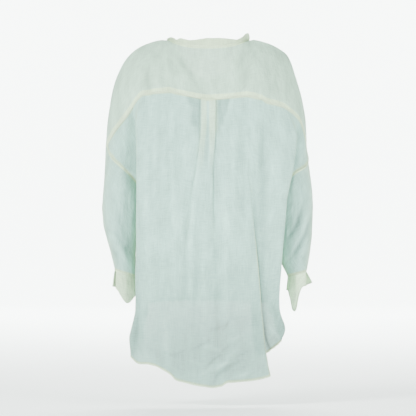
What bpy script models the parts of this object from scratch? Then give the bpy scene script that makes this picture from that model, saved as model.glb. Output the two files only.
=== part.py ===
"""Oversized sheer cotton-gauze beach shirt, as it hangs from the shoulders with nobody in it.

X is to the wearer's right, Y is forward and Z is up. The origin lies midway between the two
neck points, where the shoulders carry the shirt. The back faces -Y. Sizes are in millimetres
and are turned to metres where a mesh is made.
"""
import math
from collections import namedtuple

import bpy
import numpy as np
from mathutils import Vector

MM = 0.001
NAME = "beach_cover_up"

# Driving sizes of the cut
WALL = 1.3                # cloth wall, thicker than gauze so that it stays a solid
SEAM_GAP = 0.6            # between two panels that are sewn together
LAYER_GAP = 0.4           # between two layers that lie on each other
LEFT, RIGHT = -1, 1       # the sign of x on each side
SEWN_WITHIN = 0.5         # two panels' edge points this close are on the same seam
MOST_SETBACK = 4.0        # of a panel's edge where two panels fold onto each other
PLEAT_OUTER = {LEFT: 84.0, RIGHT: 60.0}      # x where the pleat's cloth has joined the back again
FRONT_NECK_Z = -112.0     # bottom of the front neckline
PLACKET_WIDTH = 30.0
BUTTON_RADIUS = 5.5
BUTTON_THICK = 2.4
BUTTON_SIDES = 16
SMOOTH_UNDER = 30         # degrees: a button's sharper edges stay sharp
BUTTON_FIRST = 16.0       # from the neckline to the first button
BUTTON_PITCH = 80.0
BUTTON_COUNT = 7

# The centre back and the centre front from the neck to the hem: depth (y) at a height (z)
Profile = namedtuple("Profile", "z y")
CENTRE_BACK = [
    Profile(-9, -62), Profile(-40, -84), Profile(-85, -102), Profile(-148, -116),
    Profile(-262, -122), Profile(-400, -125), Profile(-620, -129), Profile(-884, -136),
]
CENTRE_FRONT = [
    Profile(-112, 92), Profile(-180, 108), Profile(-262, 116), Profile(-400, 118),
    Profile(-620, 120), Profile(-669, 121),
]

# One row for each section of the back, from the yoke seam down to the hem. level is the height
# at the centre. The lap is a fold in the half back: its edge, how far it runs back under
# (less than nothing where it is only a soft wave) and how deep it is. The edge is the outer
# turn of the back, the tuck is where the cloth turns out again, and the end lies on the
# armhole seam or, from the underarm down, on the side seam.
Section = namedtuple("Section", "level lap_x lap_under lap_deep lap_z edge_x edge_y edge_z "
                                "tuck_x tuck_y tuck_z end_x end_y end_z")
BACK_HALF_STEPS = [2, 2, 2, 1, 2, 3, 3, 2, 2]   # columns across half a section
UNDERARM = 4              # the section that meets the underarm
ROUNDING = 2.4            # a section stays flat near the centre: more is flatter
PAST_LAP = 16.0           # from the lap to where the layer under it runs on
PAST_LAP_FALL = 0.12      # share of the back's fall that it has there
LAP_EASE = 0.25           # share of the lap's depth that each of its two turns takes up
UNDER_RISE = 0.25         # share of the way from the lap's level to the side edge's, under it
PAST_LAP_RISE = 0.55      # and where that layer runs on
BELLY_ALONG = 0.62        # share of the tucked-under cloth's width at which it bellies
BELLY_DEPTH = 0.78        # share of its depth that it takes from its shallower end
BELLY_RISE = 0.55         # share of its rise there
Pleat = namedtuple("Pleat", "z left right opened")
PLEAT = [                 # the box pleat's two edges, and how far it has opened out
    Pleat(-148, 19, 19, 0.0), Pleat(-250, 20, 19, 0.08), Pleat(-302, 27, 13, 0.3),
    Pleat(-398, 43, 11, 0.55), Pleat(-497, 54, 12, 0.8), Pleat(-640, 57, 16, 1.0),
    Pleat(-884, 57, 18, 1.0),
]
PLEAT_WAVE = 5.0          # height of the soft wave that it opens into
PLEAT_LAYER = WALL + LAYER_GAP + 0.5         # from one of its pressed layers to the next
PLEAT_DEPTH = 14.5        # how far it folds back under each edge
PLEAT_TURN = 1.4          # reach of each turn
BACK_LEFT = [
    Section(-148, 100, -34, 0, -127, 172, -88, -137, 208, -70, -186, 262, -10, -264),
    Section(-200, 100, -32, 2, -192, 184, -92, -203, 184, -62, -215, 257, -32, -284),
    Section(-262, 100, -30, 3, -262, 185, -94, -268, 172, -50, -275, 243, -50, -305),
    Section(-330, 100, -28, 4, -330, 185, -94, -335, 160, -42, -335, 214, -56, -330),
    Section(-400, 102, -26, 5, -400, 185, -92, -402, 150, -34, -398, 168, 6, -388),
    Section(-510, 104, -26, 5, -510, 186, -88, -510, 150, -30, -508, 163, 8, -505),
    Section(-620, 106, -26, 5, -620, 188, -86, -620, 152, -30, -616, 166, 8, -610),
    Section(-705, 108, -26, 6, -700, 189, -86, -697, 156, -30, -690, 176, 8, -682),
    Section(-800, 104, -22, 7, -780, 203, -86, -762, 166, -32, -735, 182, 8, -706),
    Section(-882, 96, -20, 8, -850, 198, -84, -818, 168, -34, -765, 184, 8, -716),
]
BACK_RIGHT = [
    Section(-148, 100, -34, 0, -138, 195, -82, -166, 240, -50, -204, 259, 29, -283),
    Section(-200, 100, -32, 2, -200, 226, -74, -228, 222, -46, -240, 262, 2, -302),
    Section(-262, 102, -28, 3, -262, 228, -78, -264, 204, -46, -275, 253, -30, -320),
    Section(-330, 106, -16, 5, -330, 218, -86, -330, 186, -44, -332, 224, -52, -338),
    Section(-400, 111, 2, 8, -400, 205, -92, -400, 164, -36, -396, 172, 6, -388),
    Section(-510, 122, 14, 12, -510, 196, -86, -508, 154, -30, -505, 165, 8, -505),
    Section(-620, 133, 22, 14, -620, 187, -82, -616, 152, -30, -614, 167, 8, -610),
    Section(-705, 140, 28, 15, -705, 186, -78, -690, 154, -28, -680, 174, 8, -682),
    Section(-800, 148, 32, 16, -790, 200, -72, -738, 170, -30, -715, 184, 8, -706),
    Section(-880, 160, 34, 16, -862, 190, -68, -768, 172, -28, -728, 184, 8, -716),
]
SECTION_STEPS = [2, 2, 2, 2, 3, 3, 2, 3, 3]     # rows between one section and the next
HemPoint = namedtuple("HemPoint", "x z")
BACK_HEM = [              # the hem from the left edge to the right lap
    HemPoint(-200, -806), HemPoint(-192, -820), HemPoint(-180, -826), HemPoint(-150, -827),
    HemPoint(-130, -833), HemPoint(-108, -845), HemPoint(-94, -854), HemPoint(-82, -868),
    HemPoint(-50, -875), HemPoint(-20, -882), HemPoint(13, -886), HemPoint(34, -883),
    HemPoint(48, -873), HemPoint(80, -872), HemPoint(117, -869), HemPoint(150, -866),
    HemPoint(160, -858),
]
UNDER_HEM = [             # and of the layer under the lap, out to the right edge
    HemPoint(124, -812), HemPoint(153, -799), HemPoint(174, -784), HemPoint(190, -768),
]
HEM_COLUMNS = slice(7, 42)     # the columns of the back that follow the one,
UNDER_COLUMNS = slice(42, 50)  # and the other
BACK_UNDERARM_ROW = 8
LAP_TURN = 3.2            # radius of the lap's two turns
FINE_STEPS = 8            # steps of a line that is only measured

# One row for each station of the yoke, from the centre back out to the arm: its upper edge
# (neckline, then the front yoke seam), the shoulder ridge and the middle of the yoke.
YokeStation = namedtuple("YokeStation", "name top_x top_y top_z ridge_x ridge_y ridge_z "
                                        "mid_x mid_y mid_z")
YOKE_STATIONS = [
    YokeStation("centre_back", 0, -62, -9, 0, -72, -22, 0, -102, -82),
    YokeStation("nape", 52, -52, -6, 53, -62, -18, 54, -99, -80),
    YokeStation("neck_side", 90, -22, 4, 96, -38, -5, 84, -92, -74),
    YokeStation("neck_point", 106, 24, 7, 122, -4, 9, 112, -80, -64),
    YokeStation("shoulder", 156, 46, -26, 172, 4, -5, 166, -62, -66),
]
YOKE_ARM = {
    LEFT: [
        YokeStation("shoulder_end", 206, 50, -66, 213, 4, -39, 214, -47, -104),
        YokeStation("upper_arm", 238, 50, -156, 244, 10, -112, 250, -32, -160),
        YokeStation("armhole", 252, 38, -270, 263, 24, -266, 266, 7, -264),
    ],
    RIGHT: [
        YokeStation("shoulder_end", 198, 54, -62, 207, 8, -31, 208, -44, -97),
        YokeStation("upper_arm", 224, 66, -152, 231, 24, -108, 247, -18, -162),
        YokeStation("armhole", 232, 66, -268, 248, 56, -272, 257, 42, -277),
    ],
}
NECK_POINT = 3            # the station where the neckline meets the front yoke seam
NECK_COLUMN = 6           # the yoke's column that runs up to it, counted from the centre
YOKE_INNER_STEPS = 3      # columns between the centre and where the pleat's cloth ends
YOKE_ROW_STEPS = [2, 2, 2]

# The front, alike on both sides: its outer turn and its tuck at each section. It is cut
# shorter than the back, and its hem rises from the side seams to the centre.
FrontSection = namedtuple("FrontSection", "level edge_x edge_y tuck_x tuck_y")
FRONT_SECTIONS = [
    FrontSection(-205, 178, 72, 204, 68), FrontSection(-262, 182, 82, 190, 66),
    FrontSection(-330, 182, 88, 170, 58), FrontSection(-400, 182, 88, 156, 50),
    FrontSection(-502, 180, 88, 152, 48), FrontSection(-590, 180, 90, 152, 50),
    FrontSection(-634, 182, 90, 156, 50), FrontSection(-653, 184, 90, 160, 50),
    FrontSection(-669, 178, 88, 164, 50),
]
FRONT_STEPS = [2, 2, 2, 2, 2, 3, 3, 2, 3, 3]
FRONT_UNDERARM_ROW = 10
SHOULDER_SWELL = 0.16     # how far the front rounds off the yoke seam, as a share of its reach
MOST_SWELL = 18.0
FRONT_NECK_COLUMNS = 6    # columns on the front neckline, before the yoke seam
FRONT_NECK_X = 95.0       # where those columns have come to, lower down
Point = namedtuple("Point", "x y z")
FRONT_NECKLINE = [
    Point(0, 92, FRONT_NECK_Z), Point(38, 90, -94), Point(72, 78, -56), Point(94, 56, -18),
]
FRONT_ARMHOLE = {
    LEFT: [Point(250, 45, -294), Point(236, 56, -314), Point(210, 56, -340)],
    RIGHT: [Point(232, 71, -298), Point(220, 69, -321), Point(200, 57, -347)],
}

# The sleeves from the armhole to the cuff seam: the outer and the inner edge seen from behind,
# their heights, and how far the tube reaches back and forward
SleeveRing = namedtuple("SleeveRing", "outer_x outer_z inner_x inner_z back_y front_y")
SLEEVE_LEFT = [
    SleeveRing(270, -356, 177, -420, -46, 62),
    SleeveRing(275, -425, 180, -466, -42, 68),
    SleeveRing(269, -485, 186, -510, -38, 72),
    SleeveRing(254, -540, 193, -548, -34, 66),
    SleeveRing(243, -588, 184, -606, -28, 52),
]
SLEEVE_RIGHT = [
    SleeveRing(270, -372, 182, -424, -46, 62),
    SleeveRing(273, -430, 184, -472, -42, 70),
    SleeveRing(271, -490, 186, -520, -38, 72),
    SleeveRing(264, -548, 190, -566, -34, 64),
    SleeveRing(256, -592, 207, -604, -26, 48),
]
SLEEVE_STEPS = [3, 3, 3, 3, 3]

# The unfastened cuffs. Angles go round from the outer edge by way of the back: where the
# cuff's two ends are, and where its edge hangs lowest
Cuff = namedtuple("Cuff", "depth end_a end_b hang_at hang hang_width corner_out button_column")
CUFF_LEFT = Cuff(42, 34, 376, 96, 31, 38, 3, 18)
CUFF_RIGHT = Cuff(34, 24, 366, 108, 62, 26, 13, 17)
CUFF_COLUMNS = 22
CUFF_ROWS = 3

# The collar band's upper edge over the back, with its crumpled bumps
CollarBump = namedtuple("CollarBump", "x rise half_width")
COLLAR_TOP_Z = 15.0
COLLAR_FRONT_HEIGHT = 24.0
COLLAR_LEVEL_UNTIL = 50.0  # y where its upper edge begins to follow the neckline
COLLAR_LEVEL_FADE = 36.0   # and over what depth it comes to be level
COLLAR_LEAN = 0.3         # how far it leans out at the sides of the neck
COLLAR_BUMPS = [
    CollarBump(-98, 3, 7), CollarBump(-87, -4, 5), CollarBump(-73, 3, 7),
    CollarBump(-52, -4, 9), CollarBump(35, 2, 22), CollarBump(98, 17, 8),
]

# Soft folds that hang from the yoke seam and the shoulders: x where they start and end, the
# heights they run between, half width, and depth (outward if more than nothing)
Fold = namedtuple("Fold", "top_x foot_x top_z foot_z half_width depth")
BACK_FOLDS = [
    Fold(-118, -104, -150, -560, 12, 3.5), Fold(-86, -112, -240, -700, 14, -4.0),
    Fold(-146, -150, -180, -820, 14, 4.5), Fold(-60, -62, -420, -860, 16, 4.0),
    Fold(72, 78, -170, -640, 12, -3.5), Fold(104, 92, -180, -600, 12, 4.0),
    Fold(150, 156, -190, -560, 14, -4.5), Fold(30, 60, -480, -880, 20, 5.0),
    Fold(-20, -24, -600, -884, 14, -4.0), Fold(196, 182, -260, -460, 10, 3.0),
]
FRONT_FOLDS = [
    Fold(70, 84, -160, -700, 16, 4.0), Fold(120, 128, -120, -780, 16, -5.0),
    Fold(150, 150, -220, -800, 14, 4.0),
]

CREAM_GAUZE = (0.74, 0.81, 0.77)
DOUBLE_GAUZE = (0.77, 0.82, 0.76)
SHELL_BUTTON = (0.80, 0.78, 0.68)


def clear_scene():
    for thing in list(bpy.data.objects):
        bpy.data.objects.remove(thing)


def new_material(name, colour, roughness):
    material = bpy.data.materials.new(name)
    material.use_nodes = True
    shader = material.node_tree.nodes["Principled BSDF"]
    shader.inputs["Base Color"].default_value = (*colour, 1.0)
    shader.inputs["Roughness"].default_value = roughness
    shader.inputs["Metallic"].default_value = 0.0
    return material


def smooth_through(controls, steps):
    """A smooth curve through the controls, or a smooth sheet through rows of them."""
    points = np.asarray(controls, float)
    chords = np.linalg.norm(np.diff(points, axis=0), axis=-1)
    while chords.ndim > 1:
        chords = chords.mean(axis=-1)
    spans = np.sqrt(np.maximum(chords, 1e-3))
    shape = (-1,) + (1,) * (points.ndim - 1)
    slopes = np.diff(points, axis=0) / spans.reshape(shape)
    before, after = spans[:-1].reshape(shape), spans[1:].reshape(shape)
    inner = (slopes[:-1] * after + slopes[1:] * before) / (before + after)
    tangents = np.concatenate([slopes[:1], inner, slopes[-1:]])
    made = []
    for index, count in enumerate(steps):
        for step in range(count):
            t = step / count
            made.append(
                (2 * t**3 - 3 * t**2 + 1) * points[index]
                + (t**3 - 2 * t**2 + t) * spans[index] * tangents[index]
                + (3 * t**2 - 2 * t**3) * points[index + 1]
                + (t**3 - t**2) * spans[index] * tangents[index + 1]
            )
    made.append(points[-1])
    return np.array(made)


def profile_y(profile, z):
    heights = [-row.z for row in profile]
    return float(np.interp(-z, heights, [row.y for row in profile]))


def ease(value):
    value = min(1.0, max(0.0, value))
    return value * value * (3 - 2 * value)


def fold_offset(folds, x, z):
    """How far the soft folds push the cloth outward at this place."""
    total = 0.0
    for fold in folds:
        along = (fold.top_z - z) / (fold.top_z - fold.foot_z)
        if not 0 < along < 1:
            continue
        middle = fold.top_x + (fold.foot_x - fold.top_x) * along
        swell = math.sin(math.pi * along)
        total += fold.depth * swell * math.exp(-(((x - middle) / fold.half_width) ** 2))
    return total


def back_half_controls(section, side):
    """Controls of half a back section, from beside the pleat out to its end."""
    back_y = profile_y(CENTRE_BACK, section.level)
    inner_x = PLEAT_OUTER[side]
    drop = section.edge_y - back_y
    inner_y = back_y + drop * (inner_x / section.edge_x) ** ROUNDING
    lap_y = back_y + drop * (section.lap_x / section.edge_x) ** ROUNDING
    inner_z = section.level + (section.lap_z - section.level) * inner_x / section.lap_x
    under_x = section.lap_x - section.lap_under
    beyond_x = max(under_x, section.lap_x) + PAST_LAP
    beyond_y = lap_y + section.lap_deep + drop * PAST_LAP_FALL
    under_z = section.lap_z + (section.edge_z - section.lap_z) * UNDER_RISE
    beyond_z = section.lap_z + (section.edge_z - section.lap_z) * PAST_LAP_RISE
    mid_x = section.tuck_x + (section.end_x - section.tuck_x) * BELLY_ALONG
    shallow, deep = sorted((section.tuck_y, section.end_y))
    mid_y = shallow * BELLY_DEPTH + deep * (1 - BELLY_DEPTH)
    mid_z = section.tuck_z + (section.end_z - section.tuck_z) * BELLY_RISE
    controls = [
        (inner_x, inner_y, inner_z),
        (section.lap_x - LAP_TURN, lap_y, section.lap_z),
        (section.lap_x, lap_y + section.lap_deep * LAP_EASE, section.lap_z),
        (under_x, lap_y + section.lap_deep * (1 - LAP_EASE), under_z),
        (under_x + LAP_TURN, lap_y + section.lap_deep, under_z),
        (beyond_x, beyond_y, beyond_z),
        (section.edge_x, section.edge_y, section.edge_z),
        (section.tuck_x, section.tuck_y, section.tuck_z),
        (mid_x, mid_y, mid_z),
        (section.end_x, section.end_y, section.end_z),
    ]
    return [(side * x, y, z) for x, y, z in controls]


def pleat_path(side, z):
    """Across half the box pleat at a height: (x, lift from the cloth below), x outward."""
    heights = [-row.z for row in PLEAT]
    edge = np.interp(-z, heights, [row.left if side == LEFT else row.right for row in PLEAT])
    opened = np.interp(-z, heights, [row.opened for row in PLEAT])
    outer = PLEAT_OUTER[side]
    under = edge - PLEAT_DEPTH
    pressed_flat = np.array([
        (0.0, 2 * PLEAT_LAYER), (edge * 0.55, 2 * PLEAT_LAYER),
        (edge - PLEAT_TURN, 2 * PLEAT_LAYER), (edge, 1.5 * PLEAT_LAYER),
        (edge - PLEAT_TURN, PLEAT_LAYER), (under + PLEAT_TURN, PLEAT_LAYER),
        (under, 0.5 * PLEAT_LAYER), (under + PLEAT_TURN, 0.0),
        (edge + (outer - edge) * 0.6, 0.0),
    ])
    let_go = np.array([
        (0.0, PLEAT_WAVE), (edge * 0.55, PLEAT_WAVE), (edge * 0.9, 0.94 * PLEAT_WAVE),
        (edge, 0.82 * PLEAT_WAVE), (edge + 4, 0.6 * PLEAT_WAVE), (edge + 8, 0.38 * PLEAT_WAVE),
        (edge + 12, 0.2 * PLEAT_WAVE), (edge + 16, 0.06 * PLEAT_WAVE),
        (edge + (outer - edge) * 0.75, 0.0),
    ])
    return pressed_flat * (1 - opened) + let_go * opened


def back_grid():
    """Rows of points over the whole back, from the yoke seam down to the hem."""
    halves = []
    for sections, side in ((BACK_LEFT, LEFT), (BACK_RIGHT, RIGHT)):
        rows = [back_half_controls(section, side) for section in sections]
        rows = smooth_through(rows, SECTION_STEPS)
        halves.append([smooth_through(row, BACK_HALF_STEPS) for row in rows])
    centres = smooth_through(
        [(0, profile_y(CENTRE_BACK, (a.level + b.level) / 2), (a.level + b.level) / 2)
         for a, b in zip(BACK_LEFT, BACK_RIGHT)], SECTION_STEPS)
    grid = []
    for left, right, centre in zip(halves[0], halves[1], centres):
        row = [point for point in left[::-1]]
        for sign, half in ((LEFT, left), (RIGHT, right)):
            outer = half[0]
            inner = []
            for x, lift in pleat_path(sign, centre[2]):
                weight = min(1.0, x / PLEAT_OUTER[sign])
                y = centre[1] + (outer[1] - centre[1]) * weight**2
                z = centre[2] + (outer[2] - centre[2]) * weight
                inner.append(np.array([sign * x, y - lift, z]))
            row += inner[:0:-1] if sign == LEFT else inner
        row += [point for point in right]
        grid.append(row)
    grid = np.array(grid)
    for row in grid:
        for point in row:
            point[1] -= fold_offset(BACK_FOLDS, point[0], point[2])
    last_rows = SECTION_STEPS[-1] + SECTION_STEPS[-2]
    for columns, line in ((HEM_COLUMNS, BACK_HEM), (UNDER_COLUMNS, UNDER_HEM)):
        hem = grid[-1, columns]
        wanted = np.interp(hem[:, 0], [point.x for point in line], [point.z for point in line])
        lowered = wanted - hem[:, 2]
        for step in range(last_rows):
            share = ((step + 1) / last_rows) ** 2
            grid[step - last_rows, columns, 2] += lowered * share
    return grid


def yoke_grid():
    """Rows over the yoke, from the neckline and the front seam down to the back seam."""
    sides = []
    for sections, side in ((BACK_LEFT, LEFT), (BACK_RIGHT, RIGHT)):
        outer = smooth_through(back_half_controls(sections[0], side), BACK_HALF_STEPS)
        level = (BACK_LEFT[0].level + BACK_RIGHT[0].level) / 2
        centre = np.array([0, profile_y(CENTRE_BACK, level), level])
        inner = []
        for step in range(YOKE_INNER_STEPS):
            weight = step / YOKE_INNER_STEPS
            inner.append([side * PLEAT_OUTER[side] * weight,
                          centre[1] + (outer[0][1] - centre[1]) * weight**2,
                          centre[2] + (outer[0][2] - centre[2]) * weight])
        seam = np.concatenate([inner, outer])
        length = np.concatenate([[0], np.cumsum(np.linalg.norm(np.diff(seam, axis=0), axis=1))])
        stations = YOKE_STATIONS + YOKE_ARM[side]
        places = np.interp(length, [0, length[NECK_COLUMN], length[-1]],
                           [0, NECK_POINT, len(stations) - 1])
        rows = []
        for names in ("top", "ridge", "mid"):
            line = [(side * getattr(s, names + "_x"), getattr(s, names + "_y"),
                     getattr(s, names + "_z")) for s in stations]
            fine = smooth_through(line, [FINE_STEPS] * (len(line) - 1))
            rows.append([at_place(fine, place * FINE_STEPS) for place in places])
        rows.append(list(seam))
        sides.append(smooth_through(rows, YOKE_ROW_STEPS))
    return np.array([
        np.concatenate([left[:0:-1], right]) for left, right in zip(sides[0], sides[1])])


def at_place(line, place):
    """The point at a fractional index of a line of points."""
    index = min(int(place), len(line) - 2)
    return line[index] + (line[index + 1] - line[index]) * (place - index)


def spread(line, count):
    """The line's points again, evenly spaced along it."""
    length = np.concatenate([[0], np.cumsum(np.linalg.norm(np.diff(line, axis=0), axis=1))])
    wanted = np.linspace(0, length[-1], count)
    return np.array([[np.interp(w, length, line[:, axis]) for axis in range(3)]
                     for w in wanted])


def front_grid(side, yoke, side_seam):
    """Rows over one front, from the neckline and the yoke seam down to the hem. The columns
    run from the centre front out to the armhole and the side seam."""
    places = np.cumsum([0] + SECTION_STEPS[UNDERARM:])
    half = yoke.shape[1] // 2
    seam = yoke[0][half:] if side == RIGHT else yoke[0][half::-1]
    seam = seam[NECK_COLUMN:]
    neck = smooth_through([(side * p.x, p.y, p.z) for p in FRONT_NECKLINE]
                          + [tuple(seam[0])], [FINE_STEPS] * len(FRONT_NECKLINE))
    top = np.concatenate([spread(neck, FRONT_NECK_COLUMNS + 1)[:-1], seam])
    ends = [(side * p.x, p.y, p.z) for p in FRONT_ARMHOLE[side]] + [tuple(side_seam[p]) for p in places]
    rows = []
    for section, end in zip(FRONT_SECTIONS, ends):
        front_y = profile_y(CENTRE_FRONT, section.level)
        drop = section.edge_y - front_y
        rise = (end[2] - section.level) * 0.35
        line = [
            (0.0, front_y, section.level),
            (side * section.edge_x * 0.35, front_y + drop * 0.06, section.level),
            (side * section.edge_x * 0.72, front_y + drop * 0.42, section.level + rise * 0.2),
            (side * section.edge_x, section.edge_y, section.level + rise * 0.7),
            (side * section.tuck_x, section.tuck_y, section.level + rise),
            (0.4 * side * section.tuck_x + 0.6 * end[0], 0.62 * section.tuck_y + 0.38 * end[1],
             section.level + rise * 2.2),
            end,
        ]
        line = smooth_through(line, [FINE_STEPS] * (len(line) - 1))
        split = int(np.argmax(np.abs(line[:, 0]) > FRONT_NECK_X))
        inner = spread(line[:split + 1], FRONT_NECK_COLUMNS + 1)[:-1]
        rows.append(np.concatenate([inner, spread(line[split:], len(seam))]))
    across = yoke[0] - yoke[1]
    across = across[half:] if side == RIGHT else across[half::-1]
    across = np.concatenate([np.zeros((FRONT_NECK_COLUMNS, 3)), across[NECK_COLUMN:]])
    across /= np.maximum(np.linalg.norm(across, axis=1, keepdims=True), 1e-6)
    reach = np.linalg.norm(rows[0] - top, axis=1, keepdims=True)
    place = np.arange(len(top))
    fade = np.minimum(place / FRONT_NECK_COLUMNS, (len(top) - 1 - place) / 4)
    fade = np.clip(fade, 0, 1).reshape(-1, 1)
    swell = np.minimum(reach * SHOULDER_SWELL, MOST_SWELL) * fade
    rows = [top, top * 0.6 + rows[0] * 0.4 + across * swell] + rows
    grid = smooth_through(rows, FRONT_STEPS)
    for row in grid:
        for point in row:
            point[1] += fold_offset(FRONT_FOLDS, abs(point[0]), point[2])
    moved = side_seam - grid[-len(side_seam):, -1]
    for column, share in ((-1, 1.0), (-2, 0.65), (-3, 0.3), (-4, 0.1)):
        grid[-len(side_seam):, column] += moved * share
    return grid


EDGES = {
    "top": ((0, slice(None)), (1, slice(None))),
    "bottom": ((-1, slice(None)), (-2, slice(None))),
    "first": ((slice(None), 0), (slice(None), 1)),
    "last": ((slice(None), -1), (slice(None), -2)),
}


def edge_ways(grid, edge):
    """A sheet's edge points, and the unit directions from them into the sheet."""
    outside, inside = EDGES[edge]
    ways = grid[inside] - grid[outside]
    return grid[outside], ways / np.maximum(np.linalg.norm(ways, axis=1, keepdims=True), 1e-6)


def set_back(grid, partners, edges):
    """The grid with the named edges drawn in, so that it clears the panels sewn to it. Where
    two panels fold onto each other the setback is larger."""
    made = grid.copy()
    for edge in edges:
        points, ways = edge_ways(grid, edge)
        along = np.gradient(points, axis=0)
        along /= np.maximum(np.linalg.norm(along, axis=1, keepdims=True), 1e-6)
        for index, (point, way) in enumerate(zip(points, ways)):
            half_angle = math.pi / 2
            for other_points, other_ways in partners:
                apart = np.linalg.norm(other_points - point, axis=1)
                nearest = int(np.argmin(apart))
                if apart[nearest] < SEWN_WITHIN:
                    turn = math.acos(float(np.clip(way @ other_ways[nearest], -1, 1)))
                    half_angle = min(half_angle, max(0.2, turn / 2))
            setback = WALL / 2 / math.tan(half_angle) + SEAM_GAP / 2 / math.sin(half_angle)
            setback /= max(0.5, float(np.linalg.norm(np.cross(way, along[index]))))
            made[EDGES[edge][0]][index] += way * min(setback, MOST_SETBACK)
    return made


def armhole_ring(side, yoke, back, front):
    """The armhole seam as a closed ring: from the outer arm by the back to the underarm, then
    up the front. Also each point's angle round the sleeve."""
    edge = 0 if side == LEFT else -1
    down = back[:BACK_UNDERARM_ROW + 1, edge]
    up = front[:FRONT_UNDERARM_ROW + 1, -1][::-1]
    top = yoke[:, edge]
    middle = len(top) // 2
    behind = np.concatenate([top[middle:-1], down])
    before = np.concatenate([up, top[1:middle + 1]])
    angles = []
    for line, start in ((behind, 0.0), (before, math.pi)):
        length = np.concatenate([[0], np.cumsum(np.linalg.norm(np.diff(line, axis=0), axis=1))])
        angles.append(start + math.pi * length / length[-1])
    ring = np.concatenate([behind, before[1:-1]])
    return ring, np.concatenate([angles[0], angles[1][1:-1]])


def sleeve_grid(side, ring, angles, sleeve_rings):
    """Rings of points from the armhole down to the cuff seam."""
    rings = []
    for shape in sleeve_rings:
        middle_x = (shape.outer_x + shape.inner_x) / 2
        half_x = (shape.outer_x - shape.inner_x) / 2
        middle_y = (shape.front_y + shape.back_y) / 2
        half_y = (shape.front_y - shape.back_y) / 2
        middle_z = (shape.outer_z + shape.inner_z) / 2
        half_z = (shape.outer_z - shape.inner_z) / 2
        rings.append([
            (side * (middle_x + half_x * math.cos(a)), middle_y - half_y * math.sin(a),
             middle_z + half_z * math.cos(a)) for a in angles])
    return smooth_through([ring] + rings, SLEEVE_STEPS)


def cuff_grid(side, cuff, ring, angles):
    """The cuff's band: its upper edge follows the sleeve's last ring, and its ends are free."""
    closed_ring = np.concatenate([ring, ring[:1]])
    turn = np.degrees(np.concatenate([angles, [2 * math.pi + angles[0]]]))
    middle = ring.mean(axis=0)
    columns = []
    for angle in np.linspace(cuff.end_a, cuff.end_b, CUFF_COLUMNS + 1):
        top = np.array([np.interp(angle % 360, turn, closed_ring[:, axis]) for axis in range(3)])
        outward = (top - middle) * np.array([1, 1, 0])
        outward /= np.linalg.norm(outward)
        near = math.exp(-(((angle - cuff.hang_at) / cuff.hang_width) ** 2))
        free = ease(1 - (cuff.end_b - angle) / 45)
        depth = cuff.depth + cuff.hang * near
        column = []
        for step in range(CUFF_ROWS + 1):
            share = step / CUFF_ROWS
            way = outward * (share * (1 - near) * 3 + share * free * cuff.corner_out)
            lift = share * free * cuff.corner_out * 0.6
            column.append(top + way + np.array([0, 0, -depth * share - SEAM_GAP + lift]))
        columns.append(column)
    return np.array(columns).transpose(1, 0, 2)


def collar_grid(yoke, fronts):
    """The stand collar: a band that follows the neckline from one centre front round the back
    to the other. Its upper edge is level over the back, but for its crumpled bumps."""
    half = yoke.shape[1] // 2
    back_line = yoke[0][half - NECK_COLUMN:half + NECK_COLUMN + 1]
    left = fronts[LEFT][0][:FRONT_NECK_COLUMNS]
    right = fronts[RIGHT][0][:FRONT_NECK_COLUMNS][::-1]
    line = np.concatenate([left, back_line, right])
    line[0][0] -= SEAM_GAP
    line[-1][0] += SEAM_GAP
    low, middle, high = [], [], []
    for point in line:
        behind = ease((COLLAR_LEVEL_UNTIL - point[1]) / COLLAR_LEVEL_FADE)
        level_rise = COLLAR_TOP_Z - point[2]
        rise = COLLAR_FRONT_HEIGHT + (level_rise - COLLAR_FRONT_HEIGHT) * behind
        for bump in COLLAR_BUMPS:
            rise += behind * bump.rise * math.exp(-(((point[0] - bump.x) / bump.half_width) ** 2))
        inward = -point[:2] / np.linalg.norm(point[:2]) * (1 - behind) * 0.45
        lean = COLLAR_LEAN * ease((abs(point[0]) - 70) / 30) * behind * np.sign(point[0])
        up = np.array([inward[0] + lean, inward[1] - 0.12 * (1 - behind), 1.0])
        up /= np.linalg.norm(up)
        base = point + up * (WALL / 2 + SEAM_GAP)
        low.append(base)
        middle.append(base + up * rise * 0.5)
        high.append(base + up * rise)
    return np.array([high, middle, low])


def placket_grid(fronts):
    """The button band: the fronts' own points at the centre, moved out by a wall."""
    rows = []
    for left, right in zip(fronts[LEFT], fronts[RIGHT]):
        line = np.concatenate([left[1:4][::-1], (left[:1] + right[:1]) / 2, right[1:4]])
        row = []
        for share in (-0.5, -0.17, 0.17, 0.5):
            x = share * PLACKET_WIDTH
            y = np.interp(x, line[:, 0], line[:, 1])
            z = np.interp(x, line[:, 0], line[:, 2])
            row.append((x, y + WALL + LAYER_GAP, z))
        rows.append(row)
    return np.array(rows)


def into_collection(made):
    """Puts a piece in the shirt's own collection, and in no other."""
    shirt = bpy.data.collections.get(NAME) or bpy.data.collections.new(NAME)
    if NAME not in bpy.context.scene.collection.children:
        bpy.context.scene.collection.children.link(shirt)
    for other in made.users_collection:
        other.objects.unlink(made)
    shirt.objects.link(made)


def panel(name, grid, material, winding, ring=False):
    """A sheet through a grid of points, given the wall's thickness. winding is RIGHT where a
    face's corners, taken down and then across, already turn it outwards."""
    rows, columns = grid.shape[:2]
    points = [tuple(value * MM for value in point) for row in grid for point in row]
    faces = []
    for row in range(rows - 1):
        for column in range(columns if ring else columns - 1):
            beside = (column + 1) % columns
            corners = (row * columns + column, (row + 1) * columns + column,
                       (row + 1) * columns + beside, row * columns + beside)
            faces.append(corners if winding == RIGHT else corners[::-1])
    mesh = bpy.data.meshes.new(name)
    mesh.from_pydata(points, [], faces)
    mesh.shade_smooth()
    mesh.materials.append(material)
    sheet = bpy.data.objects.new(name, mesh)
    wall = sheet.modifiers.new("wall", "SOLIDIFY")
    wall.thickness = WALL * MM
    wall.offset = 0.0
    into_collection(sheet)
    return sheet


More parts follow.
